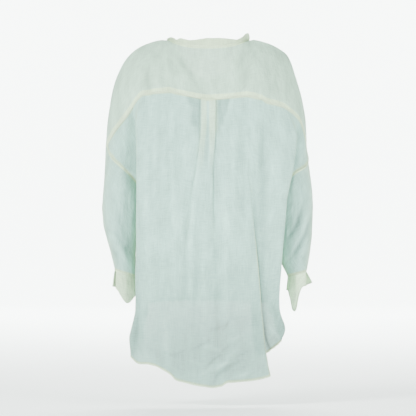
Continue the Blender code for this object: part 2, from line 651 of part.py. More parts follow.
def button(name, place, normal, material):
    """A small round button that lies on the cloth, its face along the normal."""
    normal = Vector(normal).normalized()
    centre = Vector(place) + normal * (WALL / 2 + LAYER_GAP + BUTTON_THICK / 2)
    bpy.ops.mesh.primitive_cylinder_add(
        vertices=BUTTON_SIDES, radius=BUTTON_RADIUS * MM, depth=BUTTON_THICK * MM,
        location=centre * MM, rotation=normal.to_track_quat("Z", "Y").to_euler())
    made = bpy.context.object
    made.name = name
    bpy.ops.object.shade_smooth_by_angle(angle=math.radians(SMOOTH_UNDER))
    made.data.materials.append(material)
    into_collection(made)


def middle_of_face(grid, row, column):
    """The middle of one face of a sheet, and the direction square to it."""
    corner, below, beside = grid[row, column], grid[row + 1, column], grid[row, column + 1]
    across = grid[row + 1, column + 1]
    return (corner + below + beside + across) / 4, np.cross(across - corner, beside - below)


def front_buttons(band, material):
    """The buttons down the button band, evenly spaced from below the neckline."""
    middle = (band[:, 1] + band[:, 2]) / 2
    across = band[:, 2] - band[:, 1]
    for index in range(BUTTON_COUNT):
        z = middle[0, 2] - BUTTON_FIRST - BUTTON_PITCH * index
        row = int(np.argmax(middle[:, 2] < z)) - 1
        share = (middle[row, 2] - z) / (middle[row, 2] - middle[row + 1, 2])
        place = middle[row] + (middle[row + 1] - middle[row]) * share
        normal = np.cross(across[row], middle[row] - middle[row + 1])
        button(f"button_{index + 1}", place, normal * np.sign(normal[1]), material)


def build():
    gauze = new_material("sheer_gauze", CREAM_GAUZE, 0.95)
    double = new_material("double_gauze", DOUBLE_GAUZE, 0.95)
    shell = new_material("shell_button", SHELL_BUTTON, 0.35)
    back = back_grid()
    yoke = yoke_grid()
    fronts = {side: front_grid(side, yoke, back[BACK_UNDERARM_ROW:, edge])
              for side, edge in ((LEFT, 0), (RIGHT, -1))}
    holes = {side: armhole_ring(side, yoke, back, fronts[side]) for side in (LEFT, RIGHT)}
    sleeves = {
        LEFT: sleeve_grid(LEFT, *holes[LEFT], SLEEVE_LEFT),
        RIGHT: sleeve_grid(RIGHT, *holes[RIGHT], SLEEVE_RIGHT),
    }
    armholes = [edge_ways(sleeves[side], "top") for side in (LEFT, RIGHT)]
    yoke_front, yoke_back = edge_ways(yoke, "top"), edge_ways(yoke, "bottom")
    front_tops = [edge_ways(fronts[side], "top") for side in (LEFT, RIGHT)]
    front_sides = [edge_ways(fronts[side], "last") for side in (LEFT, RIGHT)]
    back_sides = [edge_ways(back, edge) for edge in ("first", "last")]

    panel("back", set_back(back, armholes + [yoke_back] + front_sides,
                           ("top", "first", "last")), gauze, RIGHT)
    panel("yoke", set_back(yoke, armholes + [edge_ways(back, "top")] + front_tops,
                           ("top", "bottom", "first", "last")), double, RIGHT)
    for side, name, cuff in ((LEFT, "left", CUFF_LEFT), (RIGHT, "right", CUFF_RIGHT)):
        front = set_back(fronts[side], armholes + [yoke_front] + back_sides,
                         ("top", "first", "last"))
        panel("front_" + name, front, gauze, -side)
        body = [edge_ways(yoke, edge) for edge in ("first", "last")] + back_sides + front_sides
        sleeve = set_back(sleeves[side], body, ("top",))
        panel("sleeve_" + name, sleeve, gauze, side, ring=True)
        band = cuff_grid(side, cuff, sleeve[-1], holes[side][1])
        panel("cuff_" + name, band, double, side)
        place, normal = middle_of_face(band, 1, cuff.button_column)
        outward = place - band.mean(axis=(0, 1))
        normal *= np.sign(normal @ outward)
        button("cuff_button_" + name, place, normal, shell)
    panel("collar", collar_grid(yoke, fronts), double, RIGHT)
    band = placket_grid(fronts)
    panel("placket", band, double, LEFT)
    front_buttons(band, shell)


if __name__ == "__main__":
    clear_scene()
    build()
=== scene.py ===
# %% [markdown]
# # A beach shirt in sheer cotton gauze, seen from behind
# The shirt hangs open and hollow from its shoulders. Its cut comes from the same named sizes
# and short tables as the solid model: a back with a box pleat, a yoke, two fronts, sleeves,
# cuffs, collar and button band. Here each panel is made finer, creased one by one and given its
# weave. A panel could be sculpted instead, but a table of folds is easier to read and to mend.
# Sizes are in millimetres until a mesh is made.

import math
from collections import namedtuple

import bpy
import numpy as np
from mathutils import Matrix, Vector


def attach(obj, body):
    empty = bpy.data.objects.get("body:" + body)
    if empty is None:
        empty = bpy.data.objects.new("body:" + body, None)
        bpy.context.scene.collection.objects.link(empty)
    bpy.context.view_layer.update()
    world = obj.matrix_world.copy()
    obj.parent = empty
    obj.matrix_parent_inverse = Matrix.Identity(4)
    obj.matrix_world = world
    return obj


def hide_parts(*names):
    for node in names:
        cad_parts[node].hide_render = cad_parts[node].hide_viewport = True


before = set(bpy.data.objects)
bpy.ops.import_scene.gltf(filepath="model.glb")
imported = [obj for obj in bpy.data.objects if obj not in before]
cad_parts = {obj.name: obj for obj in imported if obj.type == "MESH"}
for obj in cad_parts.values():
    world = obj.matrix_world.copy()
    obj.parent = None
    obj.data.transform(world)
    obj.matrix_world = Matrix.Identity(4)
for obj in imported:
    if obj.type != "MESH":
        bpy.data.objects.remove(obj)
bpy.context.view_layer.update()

# %% [markdown]
# ## The camera
# The shirt was seen square from behind, from so far away that nothing looks nearer than the
# rest. A long lens at a long distance gives that view. An orthographic camera would too, but
# a long lens keeps the little depth that cloth has.

# %% Place the camera
MM = 0.001
PICTURE_WIDTH = 1081.6      # of the plane through the shirt that the picture takes in
PICTURE_MIDDLE_Z = -426.4
LENS = 300.0                # millimetres, on a sensor 36 wide
SENSOR = 36.0

camera_data = bpy.data.cameras.new("back_view")
camera_data.lens = LENS
camera_data.sensor_width = SENSOR
camera_data.clip_end = 100.0
camera = bpy.data.objects.new("back_view", camera_data)
camera_distance = PICTURE_WIDTH * LENS / SENSOR
camera.location = (0, -camera_distance * MM, PICTURE_MIDDLE_Z * MM)
camera.rotation_euler = (math.pi / 2, 0, 0)
bpy.context.scene.collection.objects.link(camera)
bpy.context.scene.camera = camera
print("camera at", round(camera_distance * MM, 2), "m behind the shirt")

# %% [markdown]
# ## Curves and sheets
# Every panel starts as rows of points. A smooth curve through the points of one row, and then
# through the rows, gives a sheet. It bends as cloth does, with no corner where it should flow.

# %% Smooth curves through points
def smooth_through(controls, steps):
    """A smooth curve through the controls, or a smooth sheet through rows of them."""
    points = np.asarray(controls, float)
    chords = np.linalg.norm(np.diff(points, axis=0), axis=-1)
    while chords.ndim > 1:
        chords = chords.mean(axis=-1)
    spans = np.sqrt(np.maximum(chords, 1e-3))
    shape = (-1,) + (1,) * (points.ndim - 1)
    slopes = np.diff(points, axis=0) / spans.reshape(shape)
    before, after = spans[:-1].reshape(shape), spans[1:].reshape(shape)
    inner = (slopes[:-1] * after + slopes[1:] * before) / (before + after)
    tangents = np.concatenate([slopes[:1], inner, slopes[-1:]])
    made = []
    for index, count in enumerate(steps):
        for step in range(count):
            t = step / count
            made.append(
                (2 * t**3 - 3 * t**2 + 1) * points[index]
                + (t**3 - 2 * t**2 + t) * spans[index] * tangents[index]
                + (3 * t**2 - 2 * t**3) * points[index + 1]
                + (t**3 - t**2) * spans[index] * tangents[index + 1]
            )
    made.append(points[-1])
    return np.array(made)


def table(kind, rows):
    """The rows of a table, with a name for each value."""
    return [kind(*row) for row in rows]


def profile_y(profile, z):
    """The depth of a profile at a height."""
    heights = [-row.z for row in profile]
    return float(np.interp(-z, heights, [row.y for row in profile]))


def ease(value):
    """From 0 to 1 with a soft start and end."""
    value = min(1.0, max(0.0, value))
    return value * value * (3 - 2 * value)


def at_place(line, place):
    """The point at a fractional index of a line of points."""
    index = min(int(place), len(line) - 2)
    return line[index] + (line[index + 1] - line[index]) * (place - index)


def run_lengths(grid, axis):
    """Each point's distance along its row or column."""
    steps = np.linalg.norm(np.diff(grid, axis=axis), axis=-1)
    start = np.zeros_like(np.take(steps, [0], axis=axis))
    return np.concatenate([start, np.cumsum(steps, axis=axis)], axis=axis)


def spread(line, count):
    """The line's points again, evenly spaced along it."""
    length = run_lengths(line, 0)
    wanted = np.linspace(0, length[-1], count)
    return np.array([[np.interp(w, length, line[:, axis]) for axis in range(3)]
                     for w in wanted])


arch = smooth_through([(0, 0), (1, 1), (2, 0)], [4, 4])
print("a curve through 3 points now has", len(arch))

# %% Sizes of the cut
WALL = 1.3                # cloth wall, thicker than gauze so that it stays a solid
SEAM_GAP = 0.6            # between two panels that are sewn together
LAYER_GAP = 0.4           # between two layers that lie on each other
LEFT, RIGHT = -1, 1       # the sign of x on each side
PLEAT_OUTER = {LEFT: 84.0, RIGHT: 60.0}      # x where the pleat's cloth has joined the back again
FRONT_NECK_Z = -112.0     # bottom of the front neckline
PLACKET_WIDTH = 30.0
BUTTON_RADIUS = 5.5
BUTTON_THICK = 2.4
BUTTON_FIRST = 16.0       # from the neckline to the first button
BUTTON_PITCH = 80.0
BUTTON_COUNT = 7
Profile = namedtuple("Profile", "z y")
CENTRE_BACK = table(Profile, [
    (-9, -62), (-40, -84), (-85, -102), (-148, -116), (-262, -122), (-400, -125), (-620, -129),
    (-884, -136),
])
CENTRE_FRONT = table(Profile, [
    (-112, 92), (-180, 108), (-262, 116), (-400, 118), (-620, 120), (-669, 121),
])
print("the shirt is", -CENTRE_BACK[-1].z, "mm long behind")

# %% [markdown]
# ## The back
# The back is one wide piece. A box pleat at the middle of the yoke lets it hang full, so it
# folds under at both sides and laps over itself at the right. Each row of the tables is a
# level section, and each soft fold has a start, a foot, a width and a depth.

# %% Sections and folds of the back
Section = namedtuple("Section", "level lap_x lap_under lap_deep lap_z edge_x edge_y edge_z "
                                "tuck_x tuck_y tuck_z end_x end_y end_z")
UNDERARM = 4              # the section that meets the underarm
Pleat = namedtuple("Pleat", "z left right opened")
PLEAT = table(Pleat, [  # the box pleat's two edges, and how far it has opened out
    (-148, 19, 19, 0.0), (-250, 20, 19, 0.08), (-302, 27, 13, 0.3), (-398, 43, 11, 0.55),
    (-497, 54, 12, 0.8), (-640, 57, 16, 1.0), (-884, 57, 18, 1.0),
])
PLEAT_WAVE = 5.0          # height of the soft wave that it opens into
PLEAT_LAYER = WALL + LAYER_GAP + 0.5         # from one of its pressed layers to the next
PLEAT_DEPTH = 14.5        # how far it folds back under each edge
PLEAT_TURN = 1.4          # reach of each turn
WAVE_FALL = [(4, 0.6), (8, 0.38), (12, 0.2), (16, 0.06)]     # past its edge, share of its height
BACK_LEFT = table(Section, [
    (-148, 100, -34, 0, -127, 172, -88, -137, 208, -70, -186, 262, -10, -264),
    (-200, 100, -32, 2, -192, 184, -92, -203, 184, -62, -215, 257, -32, -284),
    (-262, 100, -30, 3, -262, 185, -94, -268, 172, -50, -275, 243, -50, -305),
    (-330, 100, -28, 4, -330, 185, -94, -335, 160, -42, -335, 214, -56, -330),
    (-400, 102, -26, 5, -400, 185, -92, -402, 150, -34, -398, 168, 6, -388),
    (-510, 104, -26, 5, -510, 186, -88, -510, 150, -30, -508, 163, 8, -505),
    (-620, 106, -26, 5, -620, 188, -86, -620, 152, -30, -616, 166, 8, -610),
    (-705, 108, -26, 6, -700, 189, -86, -697, 156, -30, -690, 176, 8, -682),
    (-800, 104, -22, 7, -780, 203, -86, -762, 166, -32, -735, 182, 8, -706),
    (-882, 96, -20, 8, -850, 198, -84, -818, 168, -34, -765, 184, 8, -716),
])
BACK_RIGHT = table(Section, [
    (-148, 100, -34, 0, -138, 195, -82, -166, 240, -50, -204, 259, 29, -283),
    (-200, 100, -32, 2, -200, 226, -74, -228, 222, -46, -240, 262, 2, -302),
    (-262, 102, -28, 3, -262, 228, -78, -264, 204, -46, -275, 253, -30, -320),
    (-330, 106, -16, 5, -330, 218, -86, -330, 186, -44, -332, 224, -52, -338),
    (-400, 111, 2, 8, -400, 205, -92, -400, 164, -36, -396, 172, 6, -388),
    (-510, 122, 14, 12, -510, 196, -86, -508, 154, -30, -505, 165, 8, -505),
    (-620, 133, 22, 14, -620, 187, -82, -616, 152, -30, -614, 167, 8, -610),
    (-705, 140, 28, 15, -705, 186, -78, -690, 154, -28, -680, 174, 8, -682),
    (-800, 148, 32, 16, -790, 200, -72, -738, 170, -30, -715, 184, 8, -706),
    (-880, 160, 34, 16, -862, 190, -68, -768, 172, -28, -728, 184, 8, -716),
])
SECTION_STEPS = [2, 2, 2, 2, 3, 3, 2, 3, 3]     # rows between one section and the next
HemPoint = namedtuple("HemPoint", "x z")
BACK_HEM = table(HemPoint, [  # the hem from the left edge to the right lap
    (-200, -806), (-192, -820), (-180, -826), (-150, -827), (-130, -833), (-108, -845),
    (-94, -854), (-82, -868), (-50, -875), (-20, -882), (13, -886), (34, -883), (48, -873),
    (80, -872), (117, -869), (150, -866), (160, -858),
])
UNDER_HEM = table(HemPoint, [  # and of the layer under the lap, out to the right edge
    (124, -812), (153, -799), (174, -784), (190, -768),
])
HEM_COLUMNS = slice(7, 42)     # the columns of the back that follow the one,
UNDER_COLUMNS = slice(42, 50)  # and the other
BACK_UNDERARM_ROW = 8
LAP_TURN = 3.2            # radius of the lap's two turns
FINE_STEPS = 8            # steps of a line that is only measured
BACK_HALF_STEPS = [2, 2, 2, 1, 2, 3, 3, 2, 2]   # columns across half a section
ROUNDING = 2.4            # a section stays flat near the centre: more is flatter
PAST_LAP = 16.0           # from the lap to where the layer under it runs on
PAST_LAP_FALL = 0.12      # share of the back's fall that it has there
LAP_EASE = 0.25           # share of the lap's depth that each of its two turns takes up
UNDER_RISE = 0.25         # share of the way from the lap's level to the side edge's, under it
PAST_LAP_RISE = 0.55      # and where that layer runs on
BELLY_ALONG = 0.62        # share of the tucked-under cloth's width at which it bellies
BELLY_DEPTH = 0.78        # share of its depth that it takes from its shallower end
BELLY_RISE = 0.55         # share of its rise there
Fold = namedtuple("Fold", "top_x foot_x top_z foot_z half_width depth")
BACK_FOLDS = table(Fold, [
    (-118, -104, -150, -560, 12, 3.5), (-86, -112, -240, -700, 14, -4.0),
    (-146, -150, -180, -820, 14, 4.5), (-60, -62, -420, -860, 16, 4.0),
    (72, 78, -170, -640, 12, -3.5), (104, 92, -180, -600, 12, 4.0),
    (150, 156, -190, -560, 14, -4.5), (30, 60, -480, -880, 20, 5.0),
    (-20, -24, -600, -884, 14, -4.0), (196, 182, -260, -460, 10, 3.0),
])
print(len(BACK_LEFT), "sections a side and", len(BACK_FOLDS), "soft folds")

# %% The back as rows of points
def fold_offset(folds, x, z):
    """How far the soft folds push the cloth outward at this place."""
    total = 0.0
    for fold in folds:
        along = (fold.top_z - z) / (fold.top_z - fold.foot_z)
        if not 0 < along < 1:
            continue
        middle = fold.top_x + (fold.foot_x - fold.top_x) * along
        swell = math.sin(math.pi * along)
        total += fold.depth * swell * math.exp(-(((x - middle) / fold.half_width) ** 2))
    return total


def back_half_controls(section, side):
    """Controls of half a back section, from beside the pleat out to its end."""
    back_y = profile_y(CENTRE_BACK, section.level)
    inner_x = PLEAT_OUTER[side]
    drop = section.edge_y - back_y
    inner_y = back_y + drop * (inner_x / section.edge_x) ** ROUNDING
    lap_y = back_y + drop * (section.lap_x / section.edge_x) ** ROUNDING
    inner_z = section.level + (section.lap_z - section.level) * inner_x / section.lap_x
    under_x = section.lap_x - section.lap_under
    beyond_x = max(under_x, section.lap_x) + PAST_LAP
    beyond_y = lap_y + section.lap_deep + drop * PAST_LAP_FALL
    under_z = section.lap_z + (section.edge_z - section.lap_z) * UNDER_RISE
    beyond_z = section.lap_z + (section.edge_z - section.lap_z) * PAST_LAP_RISE
    mid_x = section.tuck_x + (section.end_x - section.tuck_x) * BELLY_ALONG
    shallow, deep = sorted((section.tuck_y, section.end_y))
    mid_y = shallow * BELLY_DEPTH + deep * (1 - BELLY_DEPTH)
    mid_z = section.tuck_z + (section.end_z - section.tuck_z) * BELLY_RISE
    controls = [
        (inner_x, inner_y, inner_z),
        (section.lap_x - LAP_TURN, lap_y, section.lap_z),
        (section.lap_x, lap_y + section.lap_deep * LAP_EASE, section.lap_z),
        (under_x, lap_y + section.lap_deep * (1 - LAP_EASE), under_z),
        (under_x + LAP_TURN, lap_y + section.lap_deep, under_z),
        (beyond_x, beyond_y, beyond_z),
        (section.edge_x, section.edge_y, section.edge_z),
        (section.tuck_x, section.tuck_y, section.tuck_z),
        (mid_x, mid_y, mid_z),
        (section.end_x, section.end_y, section.end_z),
    ]
    return [(side * x, y, z) for x, y, z in controls]


def pleat_path(side, z):
    """Across half the box pleat at a height: (x, lift from the cloth below), x outward."""
    heights = [-row.z for row in PLEAT]
    edge = np.interp(-z, heights, [row.left if side == LEFT else row.right for row in PLEAT])
    opened = np.interp(-z, heights, [row.opened for row in PLEAT])
    outer = PLEAT_OUTER[side]
    under = edge - PLEAT_DEPTH
    pressed_flat = np.array([
        (0.0, 2 * PLEAT_LAYER), (edge * 0.55, 2 * PLEAT_LAYER),
        (edge - PLEAT_TURN, 2 * PLEAT_LAYER), (edge, 1.5 * PLEAT_LAYER),
        (edge - PLEAT_TURN, PLEAT_LAYER), (under + PLEAT_TURN, PLEAT_LAYER),
        (under, 0.5 * PLEAT_LAYER), (under + PLEAT_TURN, 0.0),
        (edge + (outer - edge) * 0.6, 0.0),
    ])
    let_go = [(0.0, 1.0), (edge * 0.55, 1.0), (edge * 0.9, 0.94), (edge, 0.82)]
    let_go += [(edge + past, share) for past, share in WAVE_FALL]
    let_go.append((edge + (outer - edge) * 0.75, 0.0))
    return pressed_flat * (1 - opened) + np.array(let_go) * (1.0, PLEAT_WAVE) * opened


def back_grid():
    """Rows of points over the whole back, from the yoke seam down to the hem."""
    halves = []
    for sections, side in ((BACK_LEFT, LEFT), (BACK_RIGHT, RIGHT)):
        rows = [back_half_controls(section, side) for section in sections]
        rows = smooth_through(rows, SECTION_STEPS)
        halves.append([smooth_through(row, BACK_HALF_STEPS) for row in rows])
    centres = smooth_through(
        [(0, profile_y(CENTRE_BACK, (a.level + b.level) / 2), (a.level + b.level) / 2)
         for a, b in zip(BACK_LEFT, BACK_RIGHT)], SECTION_STEPS)
    grid = []
    for left, right, centre in zip(halves[0], halves[1], centres):
        row = list(left[::-1])
        for sign, half in ((LEFT, left), (RIGHT, right)):
            outer = half[0]
            inner = []
            for x, lift in pleat_path(sign, centre[2]):
                weight = min(1.0, x / PLEAT_OUTER[sign])
                y = centre[1] + (outer[1] - centre[1]) * weight**2
                z = centre[2] + (outer[2] - centre[2]) * weight
                inner.append(np.array([sign * x, y - lift, z]))
            row += inner[:0:-1] if sign == LEFT else inner
        row += list(right)
        grid.append(row)
    grid = np.array(grid)
    for row in grid:
        for point in row:
            point[1] -= fold_offset(BACK_FOLDS, point[0], point[2])
    last_rows = SECTION_STEPS[-1] + SECTION_STEPS[-2]
    for columns, line in ((HEM_COLUMNS, BACK_HEM), (UNDER_COLUMNS, UNDER_HEM)):
        hem = grid[-1, columns]
        wanted = np.interp(hem[:, 0], [point.x for point in line], [point.z for point in line])
        lowered = wanted - hem[:, 2]
        for step in range(last_rows):
            share = ((step + 1) / last_rows) ** 2
            grid[step - last_rows, columns, 2] += lowered * share
    return grid


back = back_grid()
print("the back has", back.shape[0], "rows of", back.shape[1], "points")

# %% [markdown]
# ## The yoke
# The yoke is the doubled piece over the shoulders. It rolls forward over the shoulder ridge,
# so its upper edge is the neckline behind and the front yoke seam further out.

# %% Stations of the yoke
YokeStation = namedtuple("YokeStation", "name top_x top_y top_z ridge_x ridge_y ridge_z "
                                        "mid_x mid_y mid_z")
YOKE_STATIONS = table(YokeStation, [
    ("centre_back", 0, -62, -9, 0, -72, -22, 0, -102, -82),
    ("nape", 52, -52, -6, 53, -62, -18, 54, -99, -80),
    ("neck_side", 90, -22, 4, 96, -38, -5, 84, -92, -74),
    ("neck_point", 106, 24, 7, 122, -4, 9, 112, -80, -64),
    ("shoulder", 156, 46, -26, 172, 4, -5, 166, -62, -66),
])
YOKE_ARM = {
    LEFT: table(YokeStation, [
        ("shoulder_end", 206, 50, -66, 213, 4, -39, 214, -47, -104),
        ("upper_arm", 238, 50, -156, 244, 10, -112, 250, -32, -160),
        ("armhole", 252, 38, -270, 263, 24, -266, 266, 7, -264),
    ]),
    RIGHT: table(YokeStation, [
        ("shoulder_end", 198, 54, -62, 207, 8, -31, 208, -44, -97),
        ("upper_arm", 224, 66, -152, 231, 24, -108, 247, -18, -162),
        ("armhole", 232, 66, -268, 248, 56, -272, 257, 42, -277),
    ]),
}
NECK_POINT = 3            # the station where the neckline meets the front yoke seam
NECK_COLUMN = 6           # the yoke's column that runs up to it, counted from the centre
YOKE_INNER_STEPS = 3      # columns between the centre and where the pleat's cloth ends
YOKE_ROW_STEPS = [2, 2, 2]


def yoke_grid():
    """Rows over the yoke, from the neckline and the front seam down to the back seam."""
    sides = []
    for sections, side in ((BACK_LEFT, LEFT), (BACK_RIGHT, RIGHT)):
        outer = smooth_through(back_half_controls(sections[0], side), BACK_HALF_STEPS)
        level = (BACK_LEFT[0].level + BACK_RIGHT[0].level) / 2
        centre = np.array([0, profile_y(CENTRE_BACK, level), level])
        inner = []
        for step in range(YOKE_INNER_STEPS):
            weight = step / YOKE_INNER_STEPS
            inner.append([side * PLEAT_OUTER[side] * weight,
                          centre[1] + (outer[0][1] - centre[1]) * weight**2,
                          centre[2] + (outer[0][2] - centre[2]) * weight])
        seam = np.concatenate([inner, outer])
        length = run_lengths(seam, 0)
        stations = YOKE_STATIONS + YOKE_ARM[side]
        places = np.interp(length, [0, length[NECK_COLUMN], length[-1]],
                           [0, NECK_POINT, len(stations) - 1])
        rows = []
        for names in ("top", "ridge", "mid"):
            line = [(side * getattr(s, names + "_x"), getattr(s, names + "_y"),
                     getattr(s, names + "_z")) for s in stations]
            fine = smooth_through(line, [FINE_STEPS] * (len(line) - 1))
            rows.append([at_place(fine, place * FINE_STEPS) for place in places])
        rows.append(list(seam))
        sides.append(smooth_through(rows, YOKE_ROW_STEPS))
    return np.array([
        np.concatenate([left[:0:-1], right]) for left, right in zip(sides[0], sides[1])])


yoke = yoke_grid()
print("the yoke has", yoke.shape[0], "rows of", yoke.shape[1], "points")

# %% [markdown]
# ## The fronts
# Each front hangs from the yoke's forward seam. Its outer edge shares the back's side seam,
# point for point, so that the seam closes.

# %% Sections and folds of the fronts
FrontSection = namedtuple("FrontSection", "level edge_x edge_y tuck_x tuck_y")
FRONT_SECTIONS = table(FrontSection, [
    (-205, 178, 72, 204, 68), (-262, 182, 82, 190, 66), (-330, 182, 88, 170, 58),
    (-400, 182, 88, 156, 50), (-502, 180, 88, 152, 48), (-590, 180, 90, 152, 50),
    (-634, 182, 90, 156, 50), (-653, 184, 90, 160, 50), (-669, 178, 88, 164, 50),
])
FRONT_STEPS = [2, 2, 2, 2, 2, 3, 3, 2, 3, 3]
FRONT_UNDERARM_ROW = 10
SHOULDER_SWELL = 0.16     # how far the front rounds off the yoke seam, as a share of its reach
MOST_SWELL = 18.0
FRONT_RISE = 0.35         # share of the way to the seam's level that a section rises by its edge
FRONT_LINE = [            # shares of a section's width, of its depth and of its rise
    (0.0, 0.0, 0.0), (0.35, 0.06, 0.0), (0.72, 0.42, 0.2), (1.0, 1.0, 0.7),
]
FRONT_BELLY_X, FRONT_BELLY_Y = 0.6, 0.38    # where its tucked cloth bellies, as shares
FRONT_BELLY_RISE = 2.2    # and how far it rises there
SWELL_PLACE = 0.4         # share of the way to the first section at which the swell is fullest
SWELL_COLUMNS = 4         # outer columns over which it fades
SEAM_PULL = ((-1, 1.0), (-2, 0.65), (-3, 0.3), (-4, 0.1))    # columns moved onto the side seam
FRONT_NECK_COLUMNS = 6    # columns on the front neckline, before the yoke seam
FRONT_NECK_X = 95.0       # where those columns have come to, lower down
Point = namedtuple("Point", "x y z")
FRONT_NECKLINE = table(Point, [
    (0, 92, FRONT_NECK_Z), (38, 90, -94), (72, 78, -56), (94, 56, -18),
])
FRONT_ARMHOLE = {
    LEFT: table(Point, [(250, 45, -294), (236, 56, -314), (210, 56, -340)]),
    RIGHT: table(Point, [(232, 71, -298), (220, 69, -321), (200, 57, -347)]),
}
FRONT_FOLDS = table(Fold, [
    (70, 84, -160, -700, 16, 4.0), (120, 128, -120, -780, 16, -5.0),
    (150, 150, -220, -800, 14, 4.0),
])
print(len(FRONT_SECTIONS), "sections a side and", len(FRONT_FOLDS), "soft folds")

# %% The fronts as rows of points
def front_grid(side, yoke, side_seam):
    """Rows over one front, from the neckline and the yoke seam down to the hem. The columns
    run from the centre front out to the armhole and the side seam."""
    places = np.cumsum([0] + SECTION_STEPS[UNDERARM:])
    half = yoke.shape[1] // 2
    seam = yoke[0][half:] if side == RIGHT else yoke[0][half::-1]
    seam = seam[NECK_COLUMN:]
    neck = smooth_through([(side * p.x, p.y, p.z) for p in FRONT_NECKLINE]
                          + [tuple(seam[0])], [FINE_STEPS] * len(FRONT_NECKLINE))
    top = np.concatenate([spread(neck, FRONT_NECK_COLUMNS + 1)[:-1], seam])
    ends = [(side * p.x, p.y, p.z) for p in FRONT_ARMHOLE[side]]
    ends += [tuple(side_seam[place]) for place in places]
    rows = []
    for section, end in zip(FRONT_SECTIONS, ends):
        front_y = profile_y(CENTRE_FRONT, section.level)
        drop = section.edge_y - front_y
        rise = (end[2] - section.level) * FRONT_RISE
        line = [(side * section.edge_x * x, front_y + drop * y, section.level + rise * z)
                for x, y, z in FRONT_LINE]
        line += [
            (side * section.tuck_x, section.tuck_y, section.level + rise),
            (side * section.tuck_x * (1 - FRONT_BELLY_X) + end[0] * FRONT_BELLY_X,
             section.tuck_y * (1 - FRONT_BELLY_Y) + end[1] * FRONT_BELLY_Y,
             section.level + rise * FRONT_BELLY_RISE),
            end,
        ]
        line = smooth_through(line, [FINE_STEPS] * (len(line) - 1))
        split = int(np.argmax(np.abs(line[:, 0]) > FRONT_NECK_X))
        inner = spread(line[:split + 1], FRONT_NECK_COLUMNS + 1)[:-1]
        rows.append(np.concatenate([inner, spread(line[split:], len(seam))]))
    across = yoke[0] - yoke[1]
    across = across[half:] if side == RIGHT else across[half::-1]
    across = np.concatenate([np.zeros((FRONT_NECK_COLUMNS, 3)), across[NECK_COLUMN:]])
    across /= np.maximum(np.linalg.norm(across, axis=1, keepdims=True), 1e-6)
    reach = np.linalg.norm(rows[0] - top, axis=1, keepdims=True)
    place = np.arange(len(top))
    fade = np.minimum(place / FRONT_NECK_COLUMNS, (len(top) - 1 - place) / SWELL_COLUMNS)
    fade = np.clip(fade, 0, 1).reshape(-1, 1)
    swell = np.minimum(reach * SHOULDER_SWELL, MOST_SWELL) * fade
    rounded = top * (1 - SWELL_PLACE) + rows[0] * SWELL_PLACE + across * swell
    rows = [top, rounded] + rows
    grid = smooth_through(rows, FRONT_STEPS)
    for row in grid:
        for point in row:
            point[1] += fold_offset(FRONT_FOLDS, abs(point[0]), point[2])
    moved = side_seam - grid[-len(side_seam):, -1]
    for column, share in SEAM_PULL:
        grid[-len(side_seam):, column] += moved * share
    return grid


fronts = {
    LEFT: front_grid(LEFT, yoke, back[BACK_UNDERARM_ROW:, 0]),
    RIGHT: front_grid(RIGHT, yoke, back[BACK_UNDERARM_ROW:, -1]),
}
print("each front has", fronts[LEFT].shape[0], "rows of", fronts[LEFT].shape[1], "points")

# %% [markdown]
# ## Sleeves and cuffs
# A sleeve is a tube of rings from the armhole seam to the cuff. The empty arm lies flat and
# slack. The cuffs are undone, so each band stays open and one corner hangs low.

# %% Rings of the sleeves
SleeveRing = namedtuple("SleeveRing", "outer_x outer_z inner_x inner_z back_y front_y")
SLEEVE_LEFT = table(SleeveRing, [
    (270, -356, 177, -420, -46, 62),
    (275, -425, 180, -466, -42, 68),
    (269, -485, 186, -510, -38, 72),
    (254, -540, 193, -548, -34, 66),
    (243, -588, 184, -606, -28, 52),
])
SLEEVE_RIGHT = table(SleeveRing, [
    (270, -372, 182, -424, -46, 62),
    (273, -430, 184, -472, -42, 70),
    (271, -490, 186, -520, -38, 72),
    (264, -548, 190, -566, -34, 64),
    (256, -592, 207, -604, -26, 48),
])
SLEEVE_STEPS = [3, 3, 3, 3, 3]


def armhole_ring(side, yoke, back, front):
    """The armhole seam as a closed ring: from the outer arm by the back to the underarm, then
    up the front. Also each point's angle round the sleeve."""
    edge = 0 if side == LEFT else -1
    down = back[:BACK_UNDERARM_ROW + 1, edge]
    up = front[:FRONT_UNDERARM_ROW + 1, -1][::-1]
    top = yoke[:, edge]
    middle = len(top) // 2
    behind = np.concatenate([top[middle:-1], down])
    before = np.concatenate([up, top[1:middle + 1]])
    angles = []
    for line, start in ((behind, 0.0), (before, math.pi)):
        length = run_lengths(line, 0)
        angles.append(start + math.pi * length / length[-1])
    ring = np.concatenate([behind, before[1:-1]])
    return ring, np.concatenate([angles[0], angles[1][1:-1]])


def sleeve_grid(side, ring, angles, sleeve_rings):
    """Rings of points from the armhole down to the cuff seam."""
    rings = []
    for shape in sleeve_rings:
        middle_x = (shape.outer_x + shape.inner_x) / 2
        half_x = (shape.outer_x - shape.inner_x) / 2
        middle_y = (shape.front_y + shape.back_y) / 2
        half_y = (shape.front_y - shape.back_y) / 2
        middle_z = (shape.outer_z + shape.inner_z) / 2
        half_z = (shape.outer_z - shape.inner_z) / 2
        rings.append([
            (side * (middle_x + half_x * math.cos(a)), middle_y - half_y * math.sin(a),
             middle_z + half_z * math.cos(a)) for a in angles])
    return smooth_through([ring] + rings, SLEEVE_STEPS)


holes = {side: armhole_ring(side, yoke, back, fronts[side]) for side in (LEFT, RIGHT)}
sleeves = {
    LEFT: sleeve_grid(LEFT, *holes[LEFT], SLEEVE_LEFT),
    RIGHT: sleeve_grid(RIGHT, *holes[RIGHT], SLEEVE_RIGHT),
}
print("each sleeve has", sleeves[LEFT].shape[0], "rings of", sleeves[LEFT].shape[1], "points")

